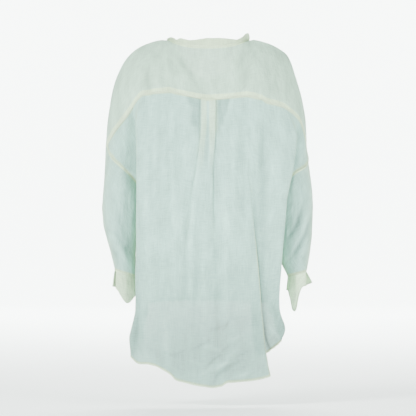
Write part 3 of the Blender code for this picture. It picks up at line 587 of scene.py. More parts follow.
# %% Bands of the cuffs
Cuff = namedtuple("Cuff", "depth end_a end_b hang_at hang hang_width corner_out button_column")
CUFF_LEFT = Cuff(42, 34, 376, 96, 31, 38, 3, 18)
CUFF_RIGHT = Cuff(34, 24, 366, 108, 62, 26, 13, 17)
CUFF_COLUMNS = 22
CUFF_ROWS = 3
CUFF_FREE = 45.0          # degrees of the band that its free end takes up
CUFF_FLARE = 3.0          # how far its lower edge stands out where it does not hang
CORNER_LIFT = 0.6         # rise of its free corner, as a share of how far that stands out


def cuff_grid(cuff, ring, angles):
    """The cuff's band: its upper edge follows the sleeve's last ring, and its ends are free."""
    closed_ring = np.concatenate([ring, ring[:1]])
    turn = np.degrees(np.concatenate([angles, [2 * math.pi + angles[0]]]))
    middle = ring.mean(axis=0)
    columns = []
    for angle in np.linspace(cuff.end_a, cuff.end_b, CUFF_COLUMNS + 1):
        top = np.array([np.interp(angle % 360, turn, closed_ring[:, axis]) for axis in range(3)])
        outward = (top - middle) * np.array([1, 1, 0])
        outward /= np.linalg.norm(outward)
        near = math.exp(-(((angle - cuff.hang_at) / cuff.hang_width) ** 2))
        free = ease(1 - (cuff.end_b - angle) / CUFF_FREE)
        depth = cuff.depth + cuff.hang * near
        column = []
        for step in range(CUFF_ROWS + 1):
            share = step / CUFF_ROWS
            way = outward * (share * (1 - near) * CUFF_FLARE + share * free * cuff.corner_out)
            lift = share * free * cuff.corner_out * CORNER_LIFT
            column.append(top + way + np.array([0, 0, -depth * share - SEAM_GAP + lift]))
        columns.append(column)
    return np.array(columns).transpose(1, 0, 2)


cuffs = {
    LEFT: cuff_grid(CUFF_LEFT, sleeves[LEFT][-1], holes[LEFT][1]),
    RIGHT: cuff_grid(CUFF_RIGHT, sleeves[RIGHT][-1], holes[RIGHT][1]),
}
print("the right cuff hangs", CUFF_RIGHT.depth + CUFF_RIGHT.hang, "mm below its seam")

# %% [markdown]
# ## Collar and button band
# The collar is a low stand that follows the neckline. Many washings have left it soft, so
# its upper edge is crumpled. The band for the buttons runs down the centre front.

# %% The collar and the band
CollarBump = namedtuple("CollarBump", "x rise half_width")
COLLAR_TOP_Z = 15.0
COLLAR_FRONT_HEIGHT = 24.0
COLLAR_LEVEL_UNTIL = 50.0  # y where its upper edge begins to follow the neckline
COLLAR_LEVEL_FADE = 36.0   # and over what depth it comes to be level
COLLAR_LEAN = 0.3         # how far it leans out at the sides of the neck
COLLAR_LEAN_FROM, COLLAR_LEAN_FADE = 70.0, 30.0     # x where that begins, and over what width
COLLAR_INWARD, COLLAR_BACKWARD = 0.45, 0.12         # how far it leans in at the front
COLLAR_BUMPS = table(CollarBump, [
    (-98, 3, 7), (-87, -4, 5), (-73, 3, 7), (-52, -4, 9), (35, 2, 22), (98, 17, 8),
])


def collar_grid(yoke, fronts):
    """The stand collar: a band that follows the neckline from one centre front round the back
    to the other. Its upper edge is level over the back, but for its crumpled bumps."""
    half = yoke.shape[1] // 2
    back_line = yoke[0][half - NECK_COLUMN:half + NECK_COLUMN + 1]
    left = fronts[LEFT][0][:FRONT_NECK_COLUMNS]
    right = fronts[RIGHT][0][:FRONT_NECK_COLUMNS][::-1]
    line = np.concatenate([left, back_line, right])
    line[0][0] -= SEAM_GAP
    line[-1][0] += SEAM_GAP
    low, middle, high = [], [], []
    for point in line:
        behind = ease((COLLAR_LEVEL_UNTIL - point[1]) / COLLAR_LEVEL_FADE)
        level_rise = COLLAR_TOP_Z - point[2]
        rise = COLLAR_FRONT_HEIGHT + (level_rise - COLLAR_FRONT_HEIGHT) * behind
        for bump in COLLAR_BUMPS:
            rise += behind * bump.rise * math.exp(-(((point[0] - bump.x) / bump.half_width) ** 2))
        inward = -point[:2] / np.linalg.norm(point[:2]) * (1 - behind) * COLLAR_INWARD
        sideways = ease((abs(point[0]) - COLLAR_LEAN_FROM) / COLLAR_LEAN_FADE)
        lean = COLLAR_LEAN * sideways * behind * np.sign(point[0])
        up = np.array([inward[0] + lean, inward[1] - COLLAR_BACKWARD * (1 - behind), 1.0])
        up /= np.linalg.norm(up)
        base = point + up * (WALL / 2 + SEAM_GAP)
        low.append(base)
        middle.append(base + up * rise * 0.5)
        high.append(base + up * rise)
    return np.array([high, middle, low])


def placket_grid(fronts):
    """The button band: the fronts' own points at the centre, moved out by a wall."""
    rows = []
    for left, right in zip(fronts[LEFT], fronts[RIGHT]):
        line = np.concatenate([left[1:4][::-1], (left[:1] + right[:1]) / 2, right[1:4]])
        row = []
        for share in (-0.5, -0.17, 0.17, 0.5):
            x = share * PLACKET_WIDTH
            y = np.interp(x, line[:, 0], line[:, 1])
            z = np.interp(x, line[:, 0], line[:, 2])
            row.append((x, y + WALL + LAYER_GAP, z))
        rows.append(row)
    return np.array(rows)


collar = collar_grid(yoke, fronts)
placket = placket_grid(fronts)
print("the collar has", collar.shape[1], "points round the neck")

# %% [markdown]
# ## From coarse rows to cloth
# The rows so far are as coarse as the solid model. More points between them let the cloth
# take small creases. A mesh could be subdivided instead, but the same smooth curves keep the
# panels' shared edges together.

# %% Finer rows and columns
def finer(grid, down, across, ring=False):
    """The sheet with more rows and columns. A ring stays closed."""
    rows = smooth_through(grid, [down] * (len(grid) - 1)).transpose(1, 0, 2)
    if not ring:
        return smooth_through(rows, [across] * (len(rows) - 1)).transpose(1, 0, 2)
    count = len(rows)
    wrapped = np.concatenate([rows[-2:], rows, rows[:3]])
    made = smooth_through(wrapped, [across] * (len(wrapped) - 1))
    return made[2 * across:(count + 2) * across].transpose(1, 0, 2)


def directions(grid, ring=False):
    """Unit vectors square to the sheet at each of its points."""
    down = np.gradient(grid, axis=0)
    if ring:
        across = (np.roll(grid, -1, axis=1) - np.roll(grid, 1, axis=1)) / 2
    else:
        across = np.gradient(grid, axis=1)
    square = np.cross(across, down)
    return square / np.maximum(np.linalg.norm(square, axis=-1, keepdims=True), 1e-9)


BACK_DOWN, BACK_ACROSS = 11, 5       # fine rows and columns in each coarse one
fine_back = finer(back, BACK_DOWN, BACK_ACROSS)
print("the back now has", fine_back.shape[0] * fine_back.shape[1], "points")

# %% [markdown]
# ## Creases
# Gauze never lies smooth. Long soft folds fall from the seams, short diagonal creases pull
# at the hem and in the sleeves, and a fine crumple covers all of it. The long creases are
# placed from a table. The crumple is even noise, drawn out along the hang of the
# cloth, because that is how washed gauze dries.

# %% A crumple that never repeats
CRUMPLE_CELLS = 256            # cells before it would repeat, more than any panel has
CRUMPLE_START = (97.3, 41.7)   # the cell at the origin, so that no panel crosses their border


def crumple(across, along, size_across, size_along, seed):
    """Smooth noise from -1 to 1 with cells of the given size."""
    rng = np.random.default_rng(seed)
    knots = rng.uniform(-1, 1, (CRUMPLE_CELLS, CRUMPLE_CELLS))
    u, v = across / size_across + CRUMPLE_START[0], along / size_along + CRUMPLE_START[1]
    column, row = np.floor(u).astype(int), np.floor(v).astype(int)
    s, t = u - column, v - row
    s, t = s * s * (3 - 2 * s), t * t * (3 - 2 * t)
    left, right = column % CRUMPLE_CELLS, (column + 1) % CRUMPLE_CELLS
    low, high = row % CRUMPLE_CELLS, (row + 1) % CRUMPLE_CELLS
    a = knots[low, left] * (1 - s) + knots[low, right] * s
    b = knots[high, left] * (1 - s) + knots[high, right] * s
    return a * (1 - t) + b * t


sample = crumple(np.linspace(0, 90, 50), np.zeros(50), 9, 40, 1)
print("the crumple runs from", round(float(sample.min()), 2), "to", round(float(sample.max()), 2))

# %% Creases listed one by one
# A crease runs from one place to another, as seen from behind, and bows to one side.
# Its depth is outward if more than nothing. Seams pucker over a short reach.
PUCKER_REACH = 9.0
PUCKER_DEPTH = 1.1
CREASE_FULLNESS = 0.7       # the less this is, the sooner a crease comes to its full depth
CREASE_TAPER = 0.4          # how much narrower its ends are
Crease = namedtuple("Crease", "from_x from_z to_x to_z bow half_width depth")


def crease_offset(creases, x, z):
    """How far the creases push the cloth outward at each place."""
    total = np.zeros_like(x)
    for crease in creases:
        run_x, run_z = crease.to_x - crease.from_x, crease.to_z - crease.from_z
        length = math.hypot(run_x, run_z)
        away_x, away_z = x - crease.from_x, z - crease.from_z
        along = (away_x * run_x + away_z * run_z) / length**2
        beside = (away_x * run_z - away_z * run_x) / length
        inside = np.clip(along, 0, 1)
        beside = beside - crease.bow * 4 * inside * (1 - inside)
        swell = np.where((along > 0) & (along < 1), np.sin(math.pi * inside) ** CREASE_FULLNESS, 0)
        width = crease.half_width * (1 - CREASE_TAPER + CREASE_TAPER * swell)
        total += crease.depth * swell * np.exp(-((beside / width) ** 2))
    return total


def on_side(creases, side, strength=1.0):
    """The creases of the right side as they lie on either side, at a share of their depth."""
    return [crease._replace(from_x=side * crease.from_x, to_x=side * crease.to_x,
                            depth=crease.depth * strength) for crease in creases]


SIDES_MEET_Y = 10.0         # the depth that parts the cloth seen from behind from the rest
COARSE, FINE, LEVEL = 0.9, 0.5, 0.8     # heights of a large crumple, a small one and a level one


def from_edges(grid):
    """For each edge of a sheet, its points' distances from it and along it."""
    along, across = run_lengths(grid, 0), run_lengths(grid, 1)
    return {"top": (along, across), "bottom": (along[-1:] - along, across),
            "first": (across, along), "last": (across[:, -1:] - across, along)}


def rumpled(grid, behind, before, size, ring=False, seed=5, hold=0.0, puckers=()):
    """The sheet with its creases, crumple and puckered seams. Layers that lie on each other
    move together, because the offset depends on the place alone."""
    square = directions(grid, ring)
    x, y, z = grid[..., 0], grid[..., 1], grid[..., 2]
    view = crumple(x, z, 17, 70, seed) * COARSE + crumple(x, z, 7, 26, seed + 1) * FINE
    side = crumple(y, z, 15, 60, seed + 2) * COARSE + crumple(y, z, 7, 24, seed + 3) * FINE
    above = crumple(x, y, 15, 15, seed + 4) * LEVEL
    creases = np.where(y < SIDES_MEET_Y, crease_offset(behind, x, z), crease_offset(before, x, z))
    outward_y = np.where(y < SIDES_MEET_Y, -square[..., 1], square[..., 1])
    push = (view * size + creases) * outward_y
    push += side * size * square[..., 0] * np.sign(x) + above * size * square[..., 2]
    edges = from_edges(grid)
    for edge in puckers:
        away, beside = edges[edge]
        ripple = crumple(beside, away, 6.5, 30, seed + 7) * np.exp(-((away / PUCKER_REACH) ** 2))
        push += ripple * PUCKER_DEPTH * outward_y
    return grid + square * (push * (1 - hold))[..., None]


fine_yoke = finer(yoke, 14, 6)
print("a crumple of 1 mm moves the yoke by at most",
      round(float(np.abs(rumpled(fine_yoke, [], [], 1.0) - fine_yoke).max()), 1), "mm")

# %% [markdown]
# ## The cloth and its colours
# Gauze is an open plain weave of slubby cotton threads. One layer is sheer and looks a little
# blue-green against white, because much of the light comes through it. Where it is doubled,
# at the yoke, collar, cuffs, hems and seams, it looks creamier and closer. One material with
# a "doubled" value painted into the mesh shows both, which two materials could not blend.

# %% Helpers for materials
def linear(hex_colour):
    """A screen colour such as #C9D9D4 as the linear colour that a shader takes."""
    values = [int(hex_colour[place:place + 2], 16) / 255 for place in (1, 3, 5)]
    return tuple(v / 12.92 if v <= 0.04045 else ((v + 0.055) / 1.055) ** 2.4
                 for v in values) + (1.0,)


def node(tree, kind, links=(), **settings):
    """Add a node. Settings are its properties or, with a name that starts i_, its sockets, by
    name or number. A link is (source, socket), and a source that is a node gives its first
    output."""
    made = tree.nodes.new("ShaderNode" + kind)
    for name, value in settings.items():
        if name.startswith("i_"):
            socket = name[2:].replace("_", " ")
            made.inputs[int(socket) if socket.isdigit() else socket].default_value = value
        else:
            setattr(made, name, value)
    for source, target in links:
        tree.links.new(getattr(source, "outputs", [source])[0], made.inputs[target])
    return made


def blank_material(name):
    """A material with no nodes yet."""
    material = bpy.data.materials.new(name)
    material.use_nodes = True
    material.node_tree.nodes.clear()
    return material, material.node_tree


print("white is", [round(value, 3) for value in linear("#FFFFFF")])

# %% The gauze
THREAD_PITCH = 0.9          # from one thread to the next
SLUB_LENGTH = 38.0          # of a thick place in a thread
CRINKLE_ACROSS, CRINKLE_ALONG = 9.0, 24.0      # size of its fine crinkles
THROUGH = 0.055             # share of the light that soaks through
SHEER_COLOUR = "#A0C8BC"    # one layer
DOUBLED_COLOUR = "#B6CCA6"  # two layers or more
SHEER_OPEN = 0.025          # share of one layer that is open between its threads
LEAST_UNEVEN, MOST_UNEVEN = 1.1, 1.9           # what the three noises add up to, at most places
WAVE_TURN = 6.283           # a wave texture has one band in this many units


def per_cell(across, along):
    """The scale that makes one unit of a texture's space this many millimetres."""
    return (1 / (across * MM), 1 / (along * MM), 1.0)


def gauze_material(name, least_doubled):
    """Slubby cotton gauze, sheer where the painted value is low."""
    material, tree = blank_material(name)
    place = node(tree, "UVMap", uv_map="cloth")
    painted = node(tree, "Attribute", attribute_name="doubled").outputs["Fac"]
    doubled = node(tree, "Math", [(painted, 0)], operation="MAXIMUM", i_1=least_doubled)

    # Thick places along warp and weft, and a soft cloudiness over both
    noises = []
    for cell, detail, roughness in (((2.2, SLUB_LENGTH), 3.0, 0.6),
                                    ((SLUB_LENGTH * 0.7, 2.0), 2.0, 0.6), ((26, 60), 3.0, 0.5)):
        spaced = node(tree, "Mapping", [(place, "Vector")], i_Scale=per_cell(*cell))
        noises.append(node(tree, "TexNoise", [(spaced, "Vector")], i_Scale=1.0,
                           i_Detail=detail, i_Roughness=roughness))
    warp_slub, weft_slub, cloud = noises
    slub = node(tree, "Math", [(warp_slub, 0), (weft_slub, 1)], operation="ADD")
    uneven = node(tree, "Math", [(slub, 0), (cloud, 1)], operation="ADD")

    # Colour: one layer's or two layers', times the unevenness and the painted light and shade in
    # tone
    shade = node(tree, "MapRange", [(uneven, "Value")], i_From_Min=LEAST_UNEVEN,
                 i_From_Max=MOST_UNEVEN, i_To_Min=0.71, i_To_Max=1.15)
    colour = node(tree, "Mix", [(doubled, "Factor")], data_type="RGBA",
                  i_6=linear(SHEER_COLOUR), i_7=linear(DOUBLED_COLOUR))
    tone = node(tree, "Attribute", attribute_name="tone").outputs["Fac"]
    lit = node(tree, "Math", [(tone, 0)], operation="ADD", i_1=1.0)
    level = node(tree, "Math", [(shade, 0), (lit, 1)], operation="MULTIPLY")
    toned = node(tree, "VectorMath", [(colour.outputs[2], 0), (level, "Scale")],
                 operation="SCALE")

    # Relief: crinkles, and over them bands one thread apart, which wander as handspun yarn does
    threads = []
    for direction in "XY":
        spaced = node(tree, "Mapping", [(place, "Vector")],
                      i_Scale=per_cell(THREAD_PITCH * WAVE_TURN, THREAD_PITCH * WAVE_TURN))
        threads.append(node(tree, "TexWave", [(spaced, "Vector")], bands_direction=direction,
                            i_Scale=2.0, i_Distortion=0.6, i_Detail=1.0, i_Detail_Scale=0.4))
    weave = node(tree, "Math", [(threads[0].outputs["Fac"], 0), (threads[1].outputs["Fac"], 1)],
                 operation="ADD")
    height = node(tree, "Math", [(weave, 0), (slub, 1)], operation="MULTIPLY")
    spaced = node(tree, "Mapping", [(place, "Vector")],
                  i_Scale=per_cell(CRINKLE_ACROSS, CRINKLE_ALONG))
    crinkle = node(tree, "TexNoise", [(spaced, "Vector")], i_Scale=1.0, i_Detail=4.0,
                   i_Roughness=0.55)
    crinkled = node(tree, "Bump", [(crinkle, "Height")], i_Strength=0.9, i_Distance=0.0036)
    bump = node(tree, "Bump", [(height, "Height"), (crinkled, "Normal")],
                i_Strength=0.35, i_Distance=0.00035)

    # Light is thrown back, soaks through, or passes between the threads
    front = node(tree, "BsdfPrincipled", [(toned, "Base Color"), (bump, "Normal")],
                 i_Roughness=0.9, i_Sheen_Weight=0.05, i_Sheen_Roughness=0.5)
    through = node(tree, "BsdfTranslucent", [(toned, "Color"), (bump, "Normal")])
    soaked = node(tree, "MapRange", [(doubled, "Value")], i_To_Min=THROUGH,
                  i_To_Max=THROUGH * 0.2)
    cloth = node(tree, "MixShader", [(soaked, 0), (front, 1), (through, 2)])
    open_share = node(tree, "MapRange", [(doubled, "Value")], i_To_Min=SHEER_OPEN,
                      i_To_Max=0.01)
    loose = node(tree, "MapRange", [(uneven, "Value")], i_From_Min=LEAST_UNEVEN,
                 i_From_Max=MOST_UNEVEN, i_To_Min=1.7, i_To_Max=0.4)
    open_here = node(tree, "Math", [(open_share, 0), (loose, 1)], operation="MULTIPLY")
    clear = node(tree, "BsdfTransparent")
    whole = node(tree, "MixShader", [(open_here, 0), (cloth, 1), (clear, 2)])
    node(tree, "OutputMaterial", [(whole, "Surface")])
    return material


GAUZE = {
    "sheer_gauze": gauze_material("sheer_cotton_gauze", 0.0),
    "double_gauze": gauze_material("doubled_cotton_gauze", 0.45),
}
print("two gauzes with", len(GAUZE["sheer_gauze"].node_tree.nodes), "nodes each")

# %% Sewing thread and shell
def thread_material():
    """Matt cotton thread, a touch creamier than the cloth."""
    material, tree = blank_material("cotton_thread")
    place = node(tree, "TexCoord").outputs["Object"]
    spaced = node(tree, "Mapping", [(place, "Vector")], i_Scale=per_cell(0.6, 0.6))
    twist = node(tree, "TexNoise", [(spaced, "Vector")], i_Scale=1.0, i_Detail=2.0)
    colour = node(tree, "Mix", [(twist, "Factor")], data_type="RGBA",
                  i_6=linear("#D2D3C2"), i_7=linear("#EDECDF"))
    bump = node(tree, "Bump", [(twist, "Height")], i_Strength=0.4, i_Distance=0.0002)
    shader = node(tree, "BsdfPrincipled",
                  [(colour.outputs[2], "Base Color"), (bump, "Normal")], i_Roughness=0.8)
    node(tree, "OutputMaterial", [(shader, "Surface")])
    return material


def shell_material():
    """Polished river shell: cream, with faint grown bands and a soft gloss."""
    material, tree = blank_material("river_shell")
    place = node(tree, "TexCoord").outputs["Object"]
    spaced = node(tree, "Mapping", [(place, "Vector")], i_Scale=per_cell(9, 9))
    bands = node(tree, "TexWave", [(spaced, "Vector")], i_Scale=2.0, i_Distortion=5.0,
                 i_Detail=2.0).outputs["Fac"]
    colour = node(tree, "Mix", [(bands, "Factor")], data_type="RGBA",
                  i_6=linear("#E4DDC8"), i_7=linear("#F3EFE3"))
    gloss = node(tree, "MapRange", [(bands, "Value")], i_To_Min=0.22, i_To_Max=0.36)
    bump = node(tree, "Bump", [(bands, "Height")], i_Strength=0.1, i_Distance=0.0002)
    shader = node(tree, "BsdfPrincipled",
                  [(colour.outputs[2], "Base Color"), (gloss, "Roughness"), (bump, "Normal")],
                  i_IOR=1.53, i_Sheen_Weight=0.0)
    node(tree, "OutputMaterial", [(shader, "Surface")])
    return material


cotton_thread = thread_material()
river_shell = shell_material()
print("thread and shell are ready")

# %% [markdown]
# ## Making the panels
# Each panel becomes one mesh with a UV map laid out in the cloth's own lengths, so the weave
# keeps its size wherever the cloth bends. The "doubled" value falls off from each seam over
# the width of the allowance that is folded behind it.

# %% A mesh from rows of points
CREASE_LIGHT_AND_SHADE = 0.06       # painted light on a crease's ridge and painted shade in its hollow, per millimetre of its depth
TONE_REACH = 2.2            # how strongly the patches and strokes of painted light and shade show
EDGE_FADE = 1.6             # the width over which a doubled edge fades out


def placed(name, mesh):
    """A mesh as an object that goes with the shirt."""
    piece = bpy.data.objects.new(name, mesh)
    bpy.context.scene.collection.objects.link(piece)
    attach(piece, "root")
    return piece


def cloth_mesh(name, grid, gauze, outward, ring=False, doubled=0.0, tone=0.0):
    """One panel as an object. outward is RIGHT where the faces' order already points out.
    doubled, and tone with its painted light and shade, are painted into its points."""
    rows, columns = grid.shape[:2]
    row, column = np.meshgrid(np.arange(rows - 1), np.arange(columns if ring else columns - 1),
                              indexing="ij")
    beside = (column + 1) % columns
    corners = np.stack([row * columns + column, (row + 1) * columns + column,
                        (row + 1) * columns + beside, row * columns + beside], axis=-1)
    if outward != RIGHT:
        corners = corners[..., ::-1]
    mesh = bpy.data.meshes.new(name)
    mesh.from_pydata((grid.reshape(-1, 3) * MM).tolist(), [], corners.reshape(-1, 4).tolist())
    across, along = run_lengths(grid, 1), run_lengths(grid, 0)
    across = across - across[:, columns // 2:columns // 2 + 1]
    flat = np.stack([across, -along], axis=-1)
    if ring:
        closing = np.linalg.norm(grid[:, 0] - grid[:, -1], axis=-1)
        last = np.stack([across[:, -1] + closing, -along[:, 0]], axis=-1)
        flat = np.concatenate([flat, last[:, None]], axis=1)
    ahead = column + 1
    places = [(row, column), (row + 1, column), (row + 1, ahead), (row, ahead)]
    if outward != RIGHT:
        places = places[::-1]
    layer = mesh.uv_layers.new(name="cloth")
    uv = np.stack([flat[a, b] for a, b in places], axis=2).reshape(-1) * MM
    layer.data.foreach_set("uv", uv.astype(np.float32))
    for painted_name, painted in (("doubled", doubled), ("tone", tone)):
        value = mesh.attributes.new(painted_name, "FLOAT", "POINT")
        painted = np.broadcast_to(painted, (rows, columns)).reshape(-1)
        value.data.foreach_set("value", painted.astype(np.float32))
    mesh.materials.append(GAUZE[gauze])
    mesh.shade_smooth()
    return placed(name, mesh)


def near_edges(grid, widths):
    """1 at the named edges, down to 0 at each one's width from it."""
    edges = from_edges(grid)
    value = np.zeros(grid.shape[:2])
    for edge, width in widths.items():
        share = np.clip((width - edges[edge][0]) / EDGE_FADE + 0.5, 0, 1)
        value = np.maximum(value, share)
    return value


def edge_on(grid, ring=False):
    """1 where the cloth turns away from back and front, so that more of it lies in line."""
    return (1 - np.abs(directions(grid, ring)[..., 1])) ** 2


# A soft patch of painted light, or of painted shade where its amount is below nothing
Patch = namedtuple("Patch", "x z half_x half_z amount")


def painted_light_and_shade(grid, patches, strokes, creases=()):
    """The painted light and shade of a panel: soft patches, long strokes, and a little of each
    crease's depth, lighter on its ridge and darker in its hollow.
    """
    x, z = grid[..., 0], grid[..., 2]
    tone = crease_offset(strokes, x, z)
    for patch in patches:
        away = ((x - patch.x) / patch.half_x) ** 2 + ((z - patch.z) / patch.half_z) ** 2
        tone += patch.amount * np.exp(-away)
    return tone * TONE_REACH + crease_offset(creases, x, z) * CREASE_LIGHT_AND_SHADE


def panel(name, replaced, grid, gauze, outward, ring=False, **painted):
    """A panel in place of its solid, with the width, length and area that it was cut to, from
    its own meshed lengths."""
    piece = cloth_mesh(name, grid, gauze, outward, ring, **painted)
    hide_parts(replaced)
    closing = np.linalg.norm(grid[:, 0] - grid[:, -1], axis=-1) if ring else 0
    width = float((run_lengths(grid, 1)[:, -1] + closing).max())
    length = float(run_lengths(grid, 0)[-1].max())
    area = sum(face.area for face in piece.data.polygons)
    area = min(area, width * length * MM * MM)
    print(name, "is cut", round(width), "by", round(length), "mm,",
          len(piece.data.polygons) * 2, "triangles")
    return piece, (width * MM, length * MM), area


print("the yoke is", round(float(run_lengths(fine_yoke, 1)[-1, -1])), "mm along its lower seam")

# %% [markdown]
# ## The back, creased
# The creases follow the shirt as it hung: long streaks below the yoke, a spray of short
# diagonals above the hem, and slack folds beside the armholes. Each is only a millimetre or
# three deep. They are uneven on purpose.

# %% Creases of the back
BACK_CREASES = table(Crease, [
    (-52, -175, -70, -540, 4, 7, 2.0), (-60, -300, -64, -640, -3, 6, -1.8),
    (-34, -330, -44, -700, 4, 6, 2.8), (-26, -470, -40, -760, -3, 5, -2.0),
    (-76, -165, -92, -420, 3, 8, -2.0), (-98, -240, -88, -620, -5, 6, 1.6),
    (-128, -150, -136, -420, 3, 7, 1.8), (-158, -260, -150, -720, 4, 8, 2.0),
    (34, -330, 46, -720, -4, 7, 2.4), (22, -480, 30, -820, 3, 6, -1.8),
    (62, -170, 70, -460, 3, 6, 1.5), (84, -160, 88, -560, -4, 7, -1.9),
    (118, -200, 108, -500, 3, 7, 1.9), (134, -260, 140, -620, -4, 7, -1.8),
    (168, -240, 160, -540, 3, 6, 2.0), (-10, -500, -6, -860, 2, 6, 1.5),
    (-110, -700, -96, -842, 4, 8, 2.4), (-182, -700, -190, -820, 3, 9, -3.4),
    (0, -845, 62, -806, 6, 7, 3.4), (14, -866, 96, -812, -5, 6, -3.1),
    (34, -812, 78, -786, 4, 5, 2.5), (-18, -782, 40, -800, -6, 6, 2.5),
    (60, -862, 120, -842, 3, 5, 2.4), (-4, -742, 60, -716, 5, 6, -1.9),
    (40, -772, 104, -738, 5, 6, 2.0), (-52, -812, -16, -826, 3, 6, 1.9),
    (-120, -792, -66, -806, 4, 6, -1.7), (70, -690, 118, -668, 3, 6, 1.5),
    (152, -720, 184, -764, 3, 6, 2.4), (160, -664, 176, -720, -3, 5, -2.0),
])
print(len(BACK_CREASES), "creases in the back")

# %% Painted light and shade in the back
# Painted shade beside the pressed pleat, painted light on its loose folds, and darker cloth
# towards the hem.
BACK_LIGHT_SHADE_PATCHES = table(Patch, [
    (46, -450, 26, 90, 0.05), (172, -345, 14, 90, 0.05), (-105, -400, 26, 120, 0.03),
    (0, -790, 280, 150, -0.19), (186, -740, 24, 60, -0.08), (150, -410, 16, 40, -0.04),
])
# Strokes of painted light along ridges and of painted shade in creases, most of them near the hem.
BACK_LIGHT_SHADE_STROKES = table(Crease, [
    (-22, -225, -58, -560, -5, 8, 0.10), (7, -262, 3, -335, 2, 3, 0.12),
    (1, -190, -4, -330, 2, 6, -0.08), (20, -250, 30, -420, 3, 4, -0.06),
    (-34, -340, -70, -600, -4, 4, -0.05), (-125, -150, -122, -520, 3, 9, -0.06),
    (-98, -160, -90, -560, -3, 6, 0.04), (-150, -170, -160, -560, 4, 7, 0.03),
    (135, -158, 142, -430, -3, 11, -0.07), (84, -154, 76, -500, 3, 7, -0.04),
    (104, -180, 98, -560, 3, 6, 0.03), (62, -158, 66, -330, 2, 6, 0.03),
    (-176, -420, -184, -780, 3, 8, -0.05), (40, -320, 60, -560, 4, 7, 0.06),
    (-26, -858, 14, -826, 4, 3, 0.06), (10, -828, 74, -816, 4, 3, 0.06),
    (-47, -790, 14, -756, 3, 3, -0.07), (34, -744, 54, -710, 3, 3, -0.07),
    (54, -711, 92, -701, 2, 3, -0.06), (70, -808, 114, -784, 3, 3, -0.07),
    (-8, -842, 40, -800, -6, 3, -0.08), (30, -802, 66, -774, -4, 3, -0.06),
    (-96, -802, -52, -786, 3, 3, -0.05), (56, -846, 104, -826, 3, 3, -0.05),
])
print(len(BACK_LIGHT_SHADE_PATCHES), "patches and", len(BACK_LIGHT_SHADE_STROKES), "strokes")

# %% The back panel
LAP_EDGE_COLUMN, UNDER_COLUMN = 41 * BACK_ACROSS, 44 * BACK_ACROSS
Strip = namedtuple("Strip", "first last first_slide last_slide")
TUCKS = table(Strip, [(-17.5, -3.5, -12, -12), (3, 21, 2, -12)])     # the cloth folded under
PLEAT_SHADE_TRIANGLES = table(Strip, [(-50, -18.5, 22, 0), (23.5, 56, 0, -31)])  # and triangles of painted shade beside it
PLEAT_FOOT_Z, PLEAT_FOOT_FADE = -340.0, 120.0      # the pleat lets go there, and over what height
TUCK_DOUBLED, TUCK_TONE = 0.6, 0.09
PLEAT_SHADE, SHADE_FADE = 0.30, 3.0                # the triangles fade over their last third
SHADE_TOP_Z, SHADE_HIGH = -150.0, 105.0
LAP_LOW_Z, LAP_FADE = -420.0, 120.0                # the lap lies open below that height
LAP_SHADE, LAP_SHADE_WIDTH = 0.55, 3.0
LAP_DOUBLED, LAP_EDGE_WIDTH = 0.8, 2.0


def span(x, first, last, soft=2.5):
    """1 between two edges, with soft sides."""
    return np.clip((x - first) / soft + 0.5, 0, 1) * np.clip((last - x) / soft + 0.5, 0, 1)


def within(strips, x, slid):
    """1 within any of the strips, whose sides slide as far as the value slid says."""
    return sum(span(x, strip.first + strip.first_slide * slid,
                    strip.last + strip.last_slide * slid) for strip in strips)


x, z = fine_back[..., 0], fine_back[..., 2]
pressed = np.clip((z - PLEAT_FOOT_Z) / PLEAT_FOOT_FADE, 0, 1)
tucks = within(TUCKS, x, 1 - pressed)
# On each side of the pleat's top lies a triangle of painted shade, the shadow of the pleat.
fallen = np.clip((SHADE_TOP_Z - z) / SHADE_HIGH, 0, 1)
pleat_shadow = within(PLEAT_SHADE_TRIANGLES, x, fallen) * np.clip((1 - fallen) * SHADE_FADE, 0, 1)
# A painted shadow lies on the layer under the lap, along its edge; the lap's own turned edge is
# doubled.
from_lap = x - x[:, LAP_EDGE_COLUMN:LAP_EDGE_COLUMN + 1]
lap_low = np.clip((LAP_LOW_Z - z) / LAP_FADE, 0, 1)
column = np.arange(fine_back.shape[1])
lap_shadow = (column >= UNDER_COLUMN) * np.exp(-((from_lap / LAP_SHADE_WIDTH) ** 2)) * lap_low
on_lap = (column <= LAP_EDGE_COLUMN) * np.exp(-((from_lap / LAP_EDGE_WIDTH) ** 2)) * lap_low
doubled = near_edges(fine_back, {"top": 4.0, "first": 8.0, "last": 8.0, "bottom": 5.0})
doubled = np.clip(doubled + TUCK_DOUBLED * pressed * tucks + LAP_DOUBLED * on_lap
                  + 0.6 * edge_on(fine_back), 0, 1)
# Painted light and shade from patches, strokes and the creases' depth, then the pleat's and the
# lap's painted shade.
tone = painted_light_and_shade(fine_back, BACK_LIGHT_SHADE_PATCHES, BACK_LIGHT_SHADE_STROKES, BACK_CREASES)
tone += TUCK_TONE * pressed * tucks - PLEAT_SHADE * pleat_shadow - LAP_SHADE * lap_shadow
hold = near_edges(fine_back, {"top": 3.0, "first": 3.0, "last": 3.0})
creased_back = rumpled(fine_back, BACK_CREASES, [], size=1.2, seed=5, hold=hold,
                       puckers=("top", "first", "last", "bottom"))
back_gauze, back_cut, back_area = panel("back_gauze", "back", creased_back, "sheer_gauze",
                                        RIGHT, doubled=doubled, tone=tone)

# %% [markdown]
# ## The yoke, creased
# The yoke lies smoother because it is doubled and rests on the shoulders, but soft folds
# still fan out from the collar. Its lower seam has its allowance pressed up inside, which
# shows as a pale band.

